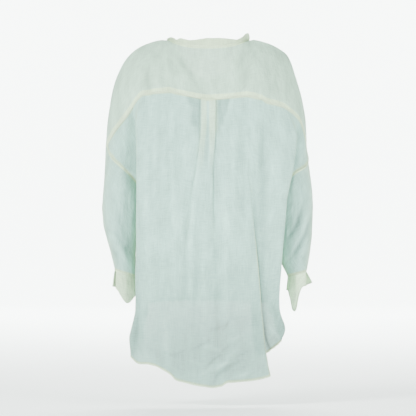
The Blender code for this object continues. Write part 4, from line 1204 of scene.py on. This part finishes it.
# %% The yoke panel
YOKE_CREASES = table(Crease, [
    (-98, -8, -84, -108, 5, 8, -2.2), (-72, -14, -26, -138, -6, 9, -2.4),
    (-104, -20, -116, -112, 4, 8, 1.6), (-150, -38, -158, -128, 4, 8, -1.8),
    (-58, -30, -30, -120, 5, 7, 1.4), (-12, -26, -8, -104, 3, 9, 0.9),
    (60, -22, 66, -122, 4, 9, 1.3), (86, -16, 96, -126, -5, 8, -1.6),
    (112, -22, 130, -130, 5, 8, 1.5), (156, -44, 168, -142, 4, 8, -1.6),
    (188, -76, 206, -172, 5, 9, 1.5), (-196, -84, -222, -190, -5, 9, 1.6),
    (20, -40, 34, -132, 4, 8, -1.0), (-170, -60, -192, -168, 4, 8, 1.2),
])
# Painted shade on the right shoulder's edge and faint painted light on the yoke, with strokes of
# painted shade along its creases and where its lower seam puckers.
YOKE_LIGHT_SHADE_PATCHES = table(Patch, [
    (202, -26, 22, 18, -0.10), (-130, -60, 40, 40, 0.03), (40, -80, 60, 40, 0.02),
])
YOKE_LIGHT_SHADE_STROKES = table(Crease, [
    (-152, -52, -154, -122, 2, 6, -0.09), (-94, -22, -16, -140, -6, 7, -0.08),
    (-112, -60, -118, -128, 2, 6, -0.05), (88, -60, 94, -128, 2, 8, -0.05),
    (178, -60, 186, -150, 3, 8, -0.06), (60, -30, 62, -120, 2, 8, 0.03),
    (-176, -60, -196, -180, 3, 8, 0.04), (-101, -108, -104, -132, 0, 3, -0.09),
    (-34, -122, -32, -146, 0, 3, -0.10), (-8, -126, -9, -150, 0, 3, -0.09),
    (26, -122, 27, -148, 0, 3, -0.07), (83, -112, 82, -138, 0, 3, -0.09),
    (125, -118, 127, -144, 0, 3, -0.09),
])
band = near_edges(fine_yoke, {"bottom": 13.0, "first": 9.0, "last": 9.0, "top": 8.0})
doubled = np.clip(band + 0.4 * edge_on(fine_yoke), 0, 1)
# Painted light and shade from the patches, strokes and creases, and the allowance's pale band.
tone = painted_light_and_shade(fine_yoke, YOKE_LIGHT_SHADE_PATCHES, YOKE_LIGHT_SHADE_STROKES, YOKE_CREASES) + 0.24 * band
hold = near_edges(fine_yoke, {"top": 3.0, "bottom": 2.5, "first": 3.0, "last": 3.0})
creased_yoke = rumpled(fine_yoke, YOKE_CREASES, [], size=0.7, seed=11, hold=hold,
                       puckers=("bottom", "first", "last"))
yoke_cloth, yoke_cut, yoke_area = panel("yoke_cloth", "yoke", creased_yoke, "double_gauze",
                                        RIGHT, doubled=doubled, tone=tone)

# %% [markdown]
# ## The fronts, creased
# Nothing shows of the fronts from behind, so their creases are plain ones of the same kind:
# streaks that fall from the shoulder, and short pulls near the button band and the hem.

# %% The front panels
FRONT_CREASES = table(Crease, [
    (34, -190, 42, -520, 4, 7, 1.5), (58, -150, 66, -600, -4, 7, -1.6),
    (88, -130, 96, -560, 4, 8, 1.8), (112, -180, 104, -640, -4, 7, -1.5),
    (140, -220, 146, -700, 4, 8, 1.6), (164, -300, 158, -740, 3, 7, -1.3),
    (22, -420, 28, -760, 3, 6, -1.2), (48, -560, 52, -790, -3, 6, 1.4),
    (18, -300, 60, -318, 3, 6, 1.1), (18, -486, 70, -512, -4, 6, -1.2),
    (20, -676, 66, -650, 4, 6, 1.3), (60, -770, 120, -742, 5, 7, 1.4),
    (104, -786, 160, -760, -4, 6, -1.3), (130, -600, 176, -560, 4, 7, 1.0),
    (40, -128, 70, -86, 3, 6, 1.1), (120, -96, 150, -170, 4, 8, -1.4),
])
FRONT_STRENGTH = {LEFT: 1.0, RIGHT: 0.8}     # the two fronts are not creased quite alike
front_panels, creased_fronts = {}, {}
for side, name in ((LEFT, "left"), (RIGHT, "right")):
    creases = on_side(FRONT_CREASES, side, FRONT_STRENGTH[side])
    fine_front = finer(fronts[side], 9, 6)
    doubled = near_edges(fine_front, {"top": 6.0, "last": 8.0, "bottom": 5.0, "first": 16.0})
    hold = near_edges(fine_front, {"top": 3.0, "last": 3.0, "first": 18.0})
    doubled = np.clip(doubled + 0.6 * edge_on(fine_front), 0, 1)
    # Painted light on the creases' ridges and painted shade in their hollows
    tone = painted_light_and_shade(fine_front, [], [], creases)
    creased_front = rumpled(fine_front, [], creases, size=1.2, seed=23 + side, hold=hold,
                            puckers=("top", "last", "bottom"))
    creased_fronts[side] = creased_front
    front_panels[side] = panel("front_gauze_" + name, "front_" + name, creased_front,
                               "sheer_gauze", -side, doubled=doubled, tone=tone)

# %% [markdown]
# ## The sleeves, creased
# An empty sleeve falls into long slanting folds from the armhole to the cuff. They are
# deepest on the right, where the arm hangs slacker.

# %% Creases of the sleeves
SLEEVE_CREASES = {
    LEFT: table(Crease, [
        (-262, -330, -268, -470, 4, 8, 1.6), (-240, -400, -216, -520, -6, 8, -2.0),
        (-268, -440, -236, -545, 7, 8, 2.4), (-268, -470, -196, -570, -10, 7, -2.6),
        (-206, -430, -190, -500, 3, 7, 1.8), (-232, -520, -190, -592, 5, 7, 2.2),
        (-250, -500, -224, -600, 4, 6, -1.6), (-226, -350, -238, -430, 3, 8, 1.2),
    ]),
    RIGHT: table(Crease, [
        (262, -345, 266, -430, -4, 8, 1.4), (247, -413, 200, -512, -8, 9, -3.4),
        (262, -430, 212, -540, -8, 8, 2.8), (268, -440, 206, -566, -10, 8, -3.2),
        (222, -420, 196, -470, 4, 7, 1.8), (262, -520, 224, -596, 6, 8, 2.2),
        (270, -500, 246, -590, 4, 7, -1.8), (236, -372, 246, -430, 4, 8, 1.4),
    ]),
}
# Strokes of painted shade along the sleeves' folds and their inner edges by the body, with a
# little painted light.
SLEEVE_LIGHT_SHADE_STROKES = {
    LEFT: table(Crease, [
        (-200, -420, -196, -560, 3, 9, -0.06), (-268, -430, -222, -590, 8, 6, -0.07),
        (-212, -500, -190, -575, 4, 5, -0.12), (-240, -400, -212, -500, -4, 7, 0.05),
    ]),
    RIGHT: table(Crease, [
        (204, -372, 196, -560, 3, 8, -0.10), (247, -413, 200, -512, -8, 6, -0.12),
        (268, -440, 206, -566, -10, 6, -0.11), (258, -420, 214, -530, -8, 5, 0.05),
        (240, -540, 226, -600, 3, 10, -0.06),
    ]),
}
# Painted light on the sleeves' inner edges, which hang in shade beside the body.
SLEEVE_PAINTED_LIGHT = {
    LEFT: table(Patch, [(-197, -430, 13, 120, 0.17), (-204, -560, 12, 40, 0.10)]),
    RIGHT: table(Patch, [(199, -440, 12, 110, 0.14), (206, -560, 12, 60, 0.14)]),
}
SLEEVE_FRONT_CREASES = table(Crease, [
    (258, -360, 250, -470, 4, 8, -1.6), (236, -400, 262, -500, 6, 8, 2.0),
    (206, -430, 240, -540, 6, 8, -2.0), (262, -520, 226, -590, -5, 7, 1.8),
    (230, -470, 200, -560, 4, 7, 1.6),
])
print(len(SLEEVE_CREASES[LEFT]), "and", len(SLEEVE_CREASES[RIGHT]), "creases in the sleeves")

# %% The sleeve tubes
SLACK, SLACK_Z, SLACK_HIGH = 4.5, -545.0, 38.0     # how far the left sleeve sags, and where
SLACK_FROM_X, SLACK_WIDE = -245.0, 45.0            # x where that begins, and its width

sleeve_panels, creased_sleeves = {}, {}
for side, name in ((LEFT, "left"), (RIGHT, "right")):
    before = on_side(SLEEVE_FRONT_CREASES, side)
    fine_sleeve = finer(sleeves[side], 12, 8, ring=True)
    doubled = near_edges(fine_sleeve, {"top": 3.0, "bottom": 6.0})
    hold = near_edges(fine_sleeve, {"top": 3.0, "bottom": 3.0})
    doubled = np.clip(doubled + 0.7 * edge_on(fine_sleeve, ring=True), 0, 1)
    behind = fine_sleeve[..., 1] < SIDES_MEET_Y
    # Behind, painted light and shade from patches, strokes and creases; in front, from the creases
    # alone.
    tone = np.where(behind, painted_light_and_shade(fine_sleeve, SLEEVE_PAINTED_LIGHT[side], SLEEVE_LIGHT_SHADE_STROKES[side],
                                         SLEEVE_CREASES[side]),
                    painted_light_and_shade(fine_sleeve, [], [], before))
    creased = rumpled(fine_sleeve, SLEEVE_CREASES[side], before, size=1.0, ring=True,
                      seed=37 + side, hold=hold, puckers=("top", "bottom"))
    if side == LEFT:
        x, z = creased[..., 0], creased[..., 2]
        inward = np.clip((x - SLACK_FROM_X) / SLACK_WIDE, 0, 1)
        creased[..., 0] += SLACK * np.exp(-(((z - SLACK_Z) / SLACK_HIGH) ** 2)) * inward
    creased_sleeves[side] = creased
    sleeve_panels[side] = panel("sleeve_gauze_" + name, "sleeve_" + name, creased,
                                "sheer_gauze", side, ring=True, doubled=doubled, tone=tone)

# %% [markdown]
# ## Cuffs, collar and button band
# These are doubled, so they are the creamiest parts. Their free edges are folded, and they
# curl and crumple from wear.

# %% The cuffs
CUFF_PAINTED_LIGHT = {LEFT: 0.16, RIGHT: 0.60}      # painted light on each against the shade it hangs in, more on the right one
cuff_panels, creased_cuffs = {}, {}
for side, name in ((LEFT, "left"), (RIGHT, "right")):
    fine_cuff = finer(cuffs[side], 12, 6)
    hold = near_edges(fine_cuff, {"top": 3.0})
    creased = rumpled(fine_cuff, [], [], size=0.9, seed=51 + side, hold=hold)
    creased_cuffs[side] = creased
    cuff_panels[side] = panel("cuff_cloth_" + name, "cuff_" + name, creased, "double_gauze",
                              side, doubled=0.9, tone=CUFF_PAINTED_LIGHT[side])

# %% The collar
COLLAR_WAVE = 1.8           # how far its soft upper edge wanders up and down
# It has slumped between two soft peaks, by these many millimetres at these places across it.
COLLAR_DIP_X = [-106, -97, -89, -82, -72, -57, -47, -26, 31, 57, 76, 86, 97, 105, 110]
COLLAR_DIPS = [5, 1, 3, 7, 3, 6, 9, 5, 5, 6, 7, 2, 0, 6, 11]
fine_collar = finer(collar, 10, 8)
hold = near_edges(fine_collar, {"bottom": 3.0})
creased_collar = rumpled(fine_collar, [], [], size=1.4, seed=63, hold=hold)
x, y = fine_collar[..., 0], fine_collar[..., 1]
creased_collar[..., 2] += COLLAR_WAVE * crumple(x, y, 13, 40, 71) * (1 - hold)
creased_collar[..., 2] -= (1 - hold) * np.interp(x, COLLAR_DIP_X, COLLAR_DIPS)
print("the collar runs from", x.min().round(), "to", x.max().round())
collar_cloth, collar_cut, collar_area = panel("collar_cloth", "collar", creased_collar,
                                              "double_gauze", RIGHT, doubled=1.0)

# %% The button band
fine_placket = finer(placket, 9, 5)
placket_cloth, placket_cut, placket_area = panel("placket_cloth", "placket", fine_placket,
                                                 "double_gauze", LEFT, doubled=0.9)

# %% [markdown]
# ## Hems and seams
# Gauze frays, so each edge is rolled twice into a narrow hem and each seam's allowance is
# pressed to one side, which leaves a soft ridge. A flat tube along the line shows that
# thickness better than a painted stripe, and it covers the slit between two panels.

# %% A ridge of folded cloth along a line
RIDGE_SIDES = 6
RIDGE_TONE = 0.16
RIDGE_PITCH = 3.0           # from one ring of the tube to the next
RIDGE_UNEVEN = 0.22         # how much its thickness varies
SEWN_REACH = 9.0            # a panel this close is the one sewn on


def line_frame(line, square):
    """Unit vectors along a line, across it in the cloth, and out of the cloth."""
    along = np.gradient(line, axis=0)
    along /= np.maximum(np.linalg.norm(along, axis=1, keepdims=True), 1e-6)
    across = np.cross(along, square)
    across /= np.maximum(np.linalg.norm(across, axis=1, keepdims=True), 1e-6)
    return along, across, np.cross(across, along)


def evenly(values, distance, pitch):
    """The rows of values at even distances along their line."""
    count = max(3, int(distance[-1] / pitch))
    wanted = np.linspace(0, distance[-1], count)
    return np.stack([np.interp(wanted, distance, column) for column in values.T], axis=1)


def ridge(name, line, square, width, height, seed):
    """A flattened tube of cloth that follows a line and is uneven along it."""
    distance = run_lengths(line, 0)
    line, square = [evenly(values, distance, RIDGE_PITCH) for values in (line, square)]
    across, out = line_frame(line, square)[1:]
    distance = run_lengths(line, 0)
    uneven = 1 + RIDGE_UNEVEN * crumple(distance, distance * 0, 9, 50, seed)
    turn = np.linspace(0, 2 * math.pi, RIDGE_SIDES, endpoint=False)
    wide = np.cos(turn)[None, :] * (width / 2 * uneven)[:, None]
    high = np.sin(turn)[None, :] * (height / 2 * uneven)[:, None]
    tube = line[:, None] + wide[..., None] * across[:, None] + high[..., None] * out[:, None]
    return cloth_mesh(name, tube, "double_gauze", RIGHT, ring=True, doubled=1.0,
                      tone=RIDGE_TONE)


def joined(name, pieces):
    """Several ridges as one object."""
    bpy.ops.object.select_all(action="DESELECT")
    for piece in pieces:
        piece.select_set(True)
    bpy.context.view_layer.objects.active = pieces[0]
    bpy.ops.object.join()
    whole = bpy.context.object
    whole.name = name
    print(name, "has", len(whole.data.polygons) * 2, "triangles from", len(pieces), "lines")
    return whole


def between(line, others):
    """The line moved half way to the nearest point of the panel it is sewn to."""
    made = line.copy()
    for index, point in enumerate(line):
        apart = np.linalg.norm(others - point, axis=1)
        nearest = int(np.argmin(apart))
        if apart[nearest] < SEWN_REACH:
            made[index] = (point + others[nearest]) / 2
    return made


edge_of = {"top": np.s_[0], "bottom": np.s_[-1], "first": np.s_[:, 0], "last": np.s_[:, -1]}
panels = {
    "back": (creased_back, RIGHT), "yoke": (creased_yoke, RIGHT),
    "collar": (creased_collar, RIGHT), "placket": (fine_placket, LEFT),
    "front_left": (creased_fronts[LEFT], RIGHT), "front_right": (creased_fronts[RIGHT], LEFT),
    "cuff_left": (creased_cuffs[LEFT], LEFT), "cuff_right": (creased_cuffs[RIGHT], RIGHT),
}
squares = {name: -directions(grid) * outward for name, (grid, outward) in panels.items()}
print("ridges follow the edges of", len(panels), "panels")

# %% The rolled hems
HEM_WIDTH, HEM_HEIGHT = 3.2, 1.3
HEMS = [("back", "bottom"), ("front_left", "bottom"), ("front_right", "bottom"),
        ("collar", "top"), ("collar", "first"), ("collar", "last")]
HEMS += [(panel, edge) for panel in ("cuff_left", "cuff_right", "placket")
         for edge in ("bottom", "first", "last")]
hem_lines, made = [], []
for seed, (panel, edge) in enumerate(HEMS):
    line, square = panels[panel][0][edge_of[edge]], squares[panel][edge_of[edge]]
    width = HEM_WIDTH * (0.6 if panel in ("collar", "placket") else 1.0)
    made.append(ridge("hem", line, square, width, HEM_HEIGHT, 80 + seed))
    hem_lines.append((line, square))
rolled_hems = joined("rolled_hems", made)

# %% The seams
SEAM_WIDTH, SEAM_HEIGHT = 4.6, 1.2


def closed_up(rings):
    """Each ring with its first point again at its end."""
    return np.concatenate([rings, rings[:, :1]], axis=1)


edge_points = {name: np.concatenate([grid[place] for place in edge_of.values()])
               for name, (grid, outward) in panels.items()}
body_edges = np.concatenate([edge_points[name] for name in
                             ("back", "yoke", "front_left", "front_right")])
SEAMS = [
    ("yoke", "bottom", "back"), ("collar", "bottom", "yoke"),
    ("front_left", "top", "yoke"), ("front_right", "top", "yoke"),
    ("front_left", "last", "back"), ("front_right", "last", "back"),
]
seam_lines, made = [], []
for seed, (panel, edge, other) in enumerate(SEAMS):
    line = between(panels[panel][0][edge_of[edge]], edge_points[other])
    seam_lines.append((line, squares[panel][edge_of[edge]]))
    made.append(ridge("seam", *seam_lines[-1], SEAM_WIDTH, SEAM_HEIGHT, 100 + seed))
for side in (LEFT, RIGHT):
    sleeve = closed_up(creased_sleeves[side])
    square = closed_up(-directions(creased_sleeves[side], ring=True) * side)
    seam_lines.append((between(sleeve[0], body_edges), square[0]))
    made.append(ridge("seam", *seam_lines[-1], SEAM_WIDTH, SEAM_HEIGHT, 110 + side))
    made.append(ridge("seam", sleeve[-1], square[-1], SEAM_WIDTH * 0.8, SEAM_HEIGHT,
                      112 + side))
seam_ridges = joined("seam_ridges", made)

# %% [markdown]
# ## Stitching
# Each hem and seam is held by a row of straight machine stitches. One stitch is a short spindle
# of thread, sunk a little at both ends. The rows are meshed whole, since thousands of
# separate objects would be hard to handle.

# %% One stitch, and rows of it
STITCH_LENGTH, STITCH_PITCH, THREAD_RADIUS = 3.0, 4.0, 0.28
SPINDLE = [(-0.5, 0.0, -1.0)] + [
    (place, math.cos(turn), math.sin(turn) + 0.4)
    for place in (-0.3, 0.3) for turn in (0.0, math.pi / 2, math.pi, math.pi * 1.5)
] + [(0.5, 0.0, -1.0)]
TURNS = [(n, (n + 1) % 4) for n in range(4)]       # one side of a spindle and the next
SPINDLE_FACES = ([(0, 1 + m, 1 + n) for n, m in TURNS]
                 + [(1 + n, 1 + m, 5 + m, 5 + n) for n, m in TURNS]
                 + [(9, 5 + n, 5 + m) for n, m in TURNS])


def spindles(name, groups, length, radius):
    """One object of many spindles of thread. A group is their places, and unit vectors along
    them, across them and out of the cloth."""
    shape = np.array(SPINDLE) * (length, radius, radius)
    laid = [places[:, None] + np.einsum("pk,skc->spc", shape, np.stack(axes, axis=1))
            for places, *axes in groups]
    points = np.concatenate(laid).reshape(-1, 3)
    firsts = range(0, len(points), len(SPINDLE))
    faces = [[first + corner for corner in reversed(face)]
             for first in firsts for face in SPINDLE_FACES]
    mesh = bpy.data.meshes.new(name)
    mesh.from_pydata((points * MM).tolist(), [], faces)
    mesh.materials.append(cotton_thread)
    mesh.shade_smooth()
    placed(name, mesh)
    print(name, "has", len(firsts), "spindles of thread")


def stitch_row(line, square, beside, lift):
    """A row of stitches, some way to the side of the line and out of the cloth."""
    distance = run_lengths(line, 0)
    places = evenly(line, distance, STITCH_PITCH)
    along, across, out = line_frame(places, evenly(square, distance, STITCH_PITCH))
    return places + across * beside + out * lift, along, across, out


# %% The stitched rows
ON_HEM, ON_SEAM = 0.75, 0.6        # how far out of the cloth the thread lies
SEAM_ROWS = (-1.3, 1.3)            # a seam has a row on each side of its line
rows = [stitch_row(line, square, 0.0, ON_HEM) for line, square in hem_lines]
rows += [stitch_row(line, square, beside, ON_SEAM)
         for line, square in seam_lines for beside in SEAM_ROWS]
spindles("machine_stitches", rows, STITCH_LENGTH, THREAD_RADIUS)

# %% [markdown]
# ## Shell buttons
# Small shirt buttons are cut from river shell and turned, with a rounded rim, a shallow dish
# and four drilled holes. One is modelled and then copied, because they are all alike.

# %% One button
BUTTON_RIM, DISH_SLOPE, DISH_DEPTH = 1.2, 0.6, 0.5
RIM_ROUNDING = 0.4
HOLE_RADIUS, HOLE_OFF = 0.6, 1.0   # of a thread hole, and from the middle to it along x or y
DRILL_LENGTH = 6.0
bpy.ops.object.select_all(action="DESELECT")
bpy.ops.mesh.primitive_cylinder_add(vertices=40, radius=BUTTON_RADIUS * MM,
                                    depth=BUTTON_THICK * MM)
pattern = bpy.context.object
for face in pattern.data.polygons:
    face.select = face.normal.z > 0.9
bpy.ops.object.mode_set(mode="EDIT")
bpy.ops.mesh.select_mode(type="FACE")
bpy.ops.mesh.inset(thickness=BUTTON_RIM * MM)
bpy.ops.mesh.inset(thickness=DISH_SLOPE * MM, depth=-DISH_DEPTH * MM)
bpy.ops.object.mode_set(mode="OBJECT")
rim = pattern.modifiers.new("rim", "BEVEL")
rim.width = RIM_ROUNDING * MM
rim.segments = 3
rim.limit_method = "ANGLE"
bpy.ops.object.modifier_apply(modifier=rim.name)
drills = []
for x, y in ((-1, -1), (1, -1), (1, 1), (-1, 1)):
    bpy.ops.mesh.primitive_cylinder_add(vertices=16, radius=HOLE_RADIUS * MM,
                                        depth=DRILL_LENGTH * MM,
                                        location=(x * HOLE_OFF * MM, y * HOLE_OFF * MM, 0))
    drills.append(bpy.context.object)
drill = joined("drill", drills)
bpy.ops.object.select_all(action="DESELECT")
pattern.select_set(True)
bpy.context.view_layer.objects.active = pattern
holes_cut = pattern.modifiers.new("holes", "BOOLEAN")
holes_cut.object = drill
holes_cut.operation = "DIFFERENCE"
bpy.ops.object.modifier_apply(modifier=holes_cut.name)
bpy.data.objects.remove(drill)
bpy.ops.object.shade_smooth_by_angle(angle=math.radians(35))
pattern.data.materials.clear()
pattern.data.materials.append(river_shell)
print("a button has", len(pattern.data.polygons), "faces")

# %% Where the buttons lie
def middle_of_face(grid, row, column):
    """The middle of one face of a sheet, and the direction square to it."""
    corner, below, beside = grid[row, column], grid[row + 1, column], grid[row, column + 1]
    across = grid[row + 1, column + 1]
    return (corner + below + beside + across) / 4, np.cross(across - corner, beside - below)


Seat = namedtuple("Seat", "node place out slit")
seats = []
middle = (placket[:, 1] + placket[:, 2]) / 2
for index in range(BUTTON_COUNT):
    level = middle[0, 2] - BUTTON_FIRST - BUTTON_PITCH * index
    row = int(np.argmax(middle[:, 2] < level)) - 1
    step = middle[row + 1] - middle[row]
    place = middle[row] + step * (middle[row, 2] - level) / -step[2]
    out = np.cross(placket[row, 2] - placket[row, 1], -step)
    seats.append(Seat(f"button_{index + 1}", place, out * np.sign(out[1]), step))
for side, name, cuff in ((LEFT, "left", CUFF_LEFT), (RIGHT, "right", CUFF_RIGHT)):
    band = cuffs[side]
    place, out = middle_of_face(band, 1, cuff.button_column)
    out *= np.sign(out @ (place - band.mean(axis=(0, 1))))
    slit = band[1, cuff.button_column + 1] - band[1, cuff.button_column]
    seats.append(Seat("cuff_button_" + name, place, out, slit))
print("there are", len(seats), "buttons")

# %% The buttons and their thread
BUTTON_SEAT = WALL / 2 + LAYER_GAP + BUTTON_THICK / 2      # from the cloth to its middle
THREAD_OVER = 0.75          # height of the sewing thread above the button's middle
button_threads = []
for seat in seats:
    turn = Vector(seat.out).normalized().to_track_quat("Z", "Y").to_matrix()
    centre = Vector(seat.place) + turn.col[2] * BUTTON_SEAT
    shell = pattern.data.copy()
    shell.transform(Matrix.Translation(centre * MM) @ turn.to_4x4())
    piece = placed(seat.node + "_shell", shell)
    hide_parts(seat.node)
    axes = np.array(turn).T
    over = [np.array(centre) + axes[1] * off + axes[2] * THREAD_OVER
            for off in (-HOLE_OFF, HOLE_OFF)]
    button_threads.append((np.array(over), *(np.tile(axis, (2, 1))
                                             for axis in (axes[0], -axes[1], axes[2]))))
bpy.data.objects.remove(pattern)
spindles("button_thread", button_threads, HOLE_OFF * 3.0, 0.34)

# %% The buttonholes
SLIT_LENGTH, SLIT_STITCH = 13.5, 0.8
SLIT_ROWS = (-0.8, 0.8)            # a row of stitches along each side of the slit
slits = []
for seat in seats[:BUTTON_COUNT]:
    out = seat.out / np.linalg.norm(seat.out)
    slit = seat.slit / np.linalg.norm(seat.slit)
    across = np.cross(slit, out)
    for reach in np.arange(-SLIT_LENGTH / 2, SLIT_LENGTH / 2 + 0.1, SLIT_STITCH):
        for beside in SLIT_ROWS:
            place = seat.place + slit * reach + across * beside + out * (WALL / 2)
            slits.append((place[None], across[None], slit[None], out[None]))
spindles("buttonhole_stitches", slits, 1.5, 0.32)

# %% [markdown]
# ## Floor and light
# A pale sweep lies under the shirt and rises far behind it, and large soft lamps light both
# nearly evenly, as in a plain product photograph. The cloth is pale too, so a little more
# light from the left keeps its folds readable. The sweep could stand closer, but from here
# the shirt can be seen from in front as well.

# %% The floor and its sweep
FLOOR_Z = -935.0
FLOOR_NEAR, FLOOR_FAR, FLOOR_WIDE = -13.0, 10.8, 26.0      # metres
SWEEP_HIGH, SWEEP_ROUND = 8.0, 1.6
bpy.ops.object.select_all(action="DESELECT")
bpy.ops.mesh.primitive_plane_add(size=1.0, location=(0, 0, FLOOR_Z * MM))
floor = bpy.context.object
floor.name = "floor"
for vertex in floor.data.vertices:
    vertex.co.x *= FLOOR_WIDE
    vertex.co.y = FLOOR_FAR if vertex.co.y > 0 else FLOOR_NEAR
bpy.ops.object.mode_set(mode="EDIT")
bpy.ops.mesh.select_mode(type="EDGE")
bpy.ops.mesh.select_all(action="DESELECT")
bpy.ops.object.mode_set(mode="OBJECT")
for edge in floor.data.edges:
    edge.select = all(floor.data.vertices[index].co.y > 0 for index in edge.vertices)
bpy.ops.object.mode_set(mode="EDIT")
bpy.ops.mesh.extrude_region_move(TRANSFORM_OT_translate={"value": (0, 0, SWEEP_HIGH)})
bpy.ops.object.mode_set(mode="OBJECT")
bend = floor.modifiers.new("bend", "BEVEL")
bend.width = SWEEP_ROUND
bend.segments = 12
bpy.ops.object.modifier_apply(modifier=bend.name)
bpy.ops.object.transform_apply(location=True, rotation=True, scale=True)
floor.data.shade_smooth()
material, tree = blank_material("pale_paper")
place = node(tree, "TexCoord").outputs["Object"]
spaced = node(tree, "Mapping", [(place, "Vector")], i_Scale=per_cell(30, 30))
fibre = node(tree, "TexNoise", [(spaced, "Vector")], i_Scale=1.0, i_Detail=2.0)
tone = node(tree, "Mix", [(fibre, "Factor")], data_type="RGBA",
            i_6=linear("#FAFAF9"), i_7=linear("#FDFDFC"))
paper = node(tree, "BsdfPrincipled", [(tone.outputs[2], "Base Color")], i_Roughness=0.9)
node(tree, "OutputMaterial", [(paper, "Surface")])
floor.data.materials.append(material)
print("the floor lies", round(min(point.z for point in BACK_HEM) - FLOOR_Z), "mm below the hem")

# %% The lamps and the room's light
LAMP_COLOUR = "#F6FFFC"     # daylight lamps, a little cool
ROOM_COLOUR = "#F4FFFB"


def soft_lamp(name, place, aim, size, power):
    """A large square lamp that points at a place."""
    data = bpy.data.lights.new(name, "AREA")
    data.shape = "SQUARE"
    data.size = size
    data.energy = power
    data.color = linear(LAMP_COLOUR)[:3]
    lamp = bpy.data.objects.new(name, data)
    lamp.location = place
    way = Vector(aim) - Vector(place)
    lamp.rotation_euler = way.to_track_quat("-Z", "Y").to_euler()
    bpy.context.scene.collection.objects.link(lamp)
    return lamp


middle = (0, 0, -0.43)
soft_lamp("key_left", (-2.6, -3.0, 1.5), middle, 1.6, 400)
soft_lamp("fill_right", (3.0, -3.2, 0.2), middle, 2.4, 290)
soft_lamp("sweep_left", (-3.2, 7.6, 1.8), (-1.0, 10.8, -0.3), 2.0, 620)
soft_lamp("sweep_right", (3.2, 7.6, 1.8), (1.0, 10.8, -0.3), 2.0, 620)
soft_lamp("floor_lamp", (0, 5.6, 3.4), (0, 5.6, -0.9), 3.4, 1300)
soft_lamp("front_fill", (2.6, 4.5, 1.4), middle, 2.0, 150)
world = bpy.data.worlds.new("studio")
world.use_nodes = True
world.node_tree.nodes["Background"].inputs["Color"].default_value = linear(ROOM_COLOUR)
world.node_tree.nodes["Background"].inputs["Strength"].default_value = 0.85
bpy.context.scene.world = world
print("six lamps and a white room")

# %% [markdown]
# ## What each sheet was cut to
# A panel that hangs keeps the size it was cut to. The sizes here are measured along the
# cloth, folds and all, so they are the panels' own.

# %% Each sheet's piece, size and area
for side in (LEFT, RIGHT):
    for panels_made in (front_panels, sleeve_panels):
        piece, size, area = panels_made[side]
    # A cuff hangs in one deep corner, so its length is the mean one.
    piece, (width, length), area = cuff_panels[side]
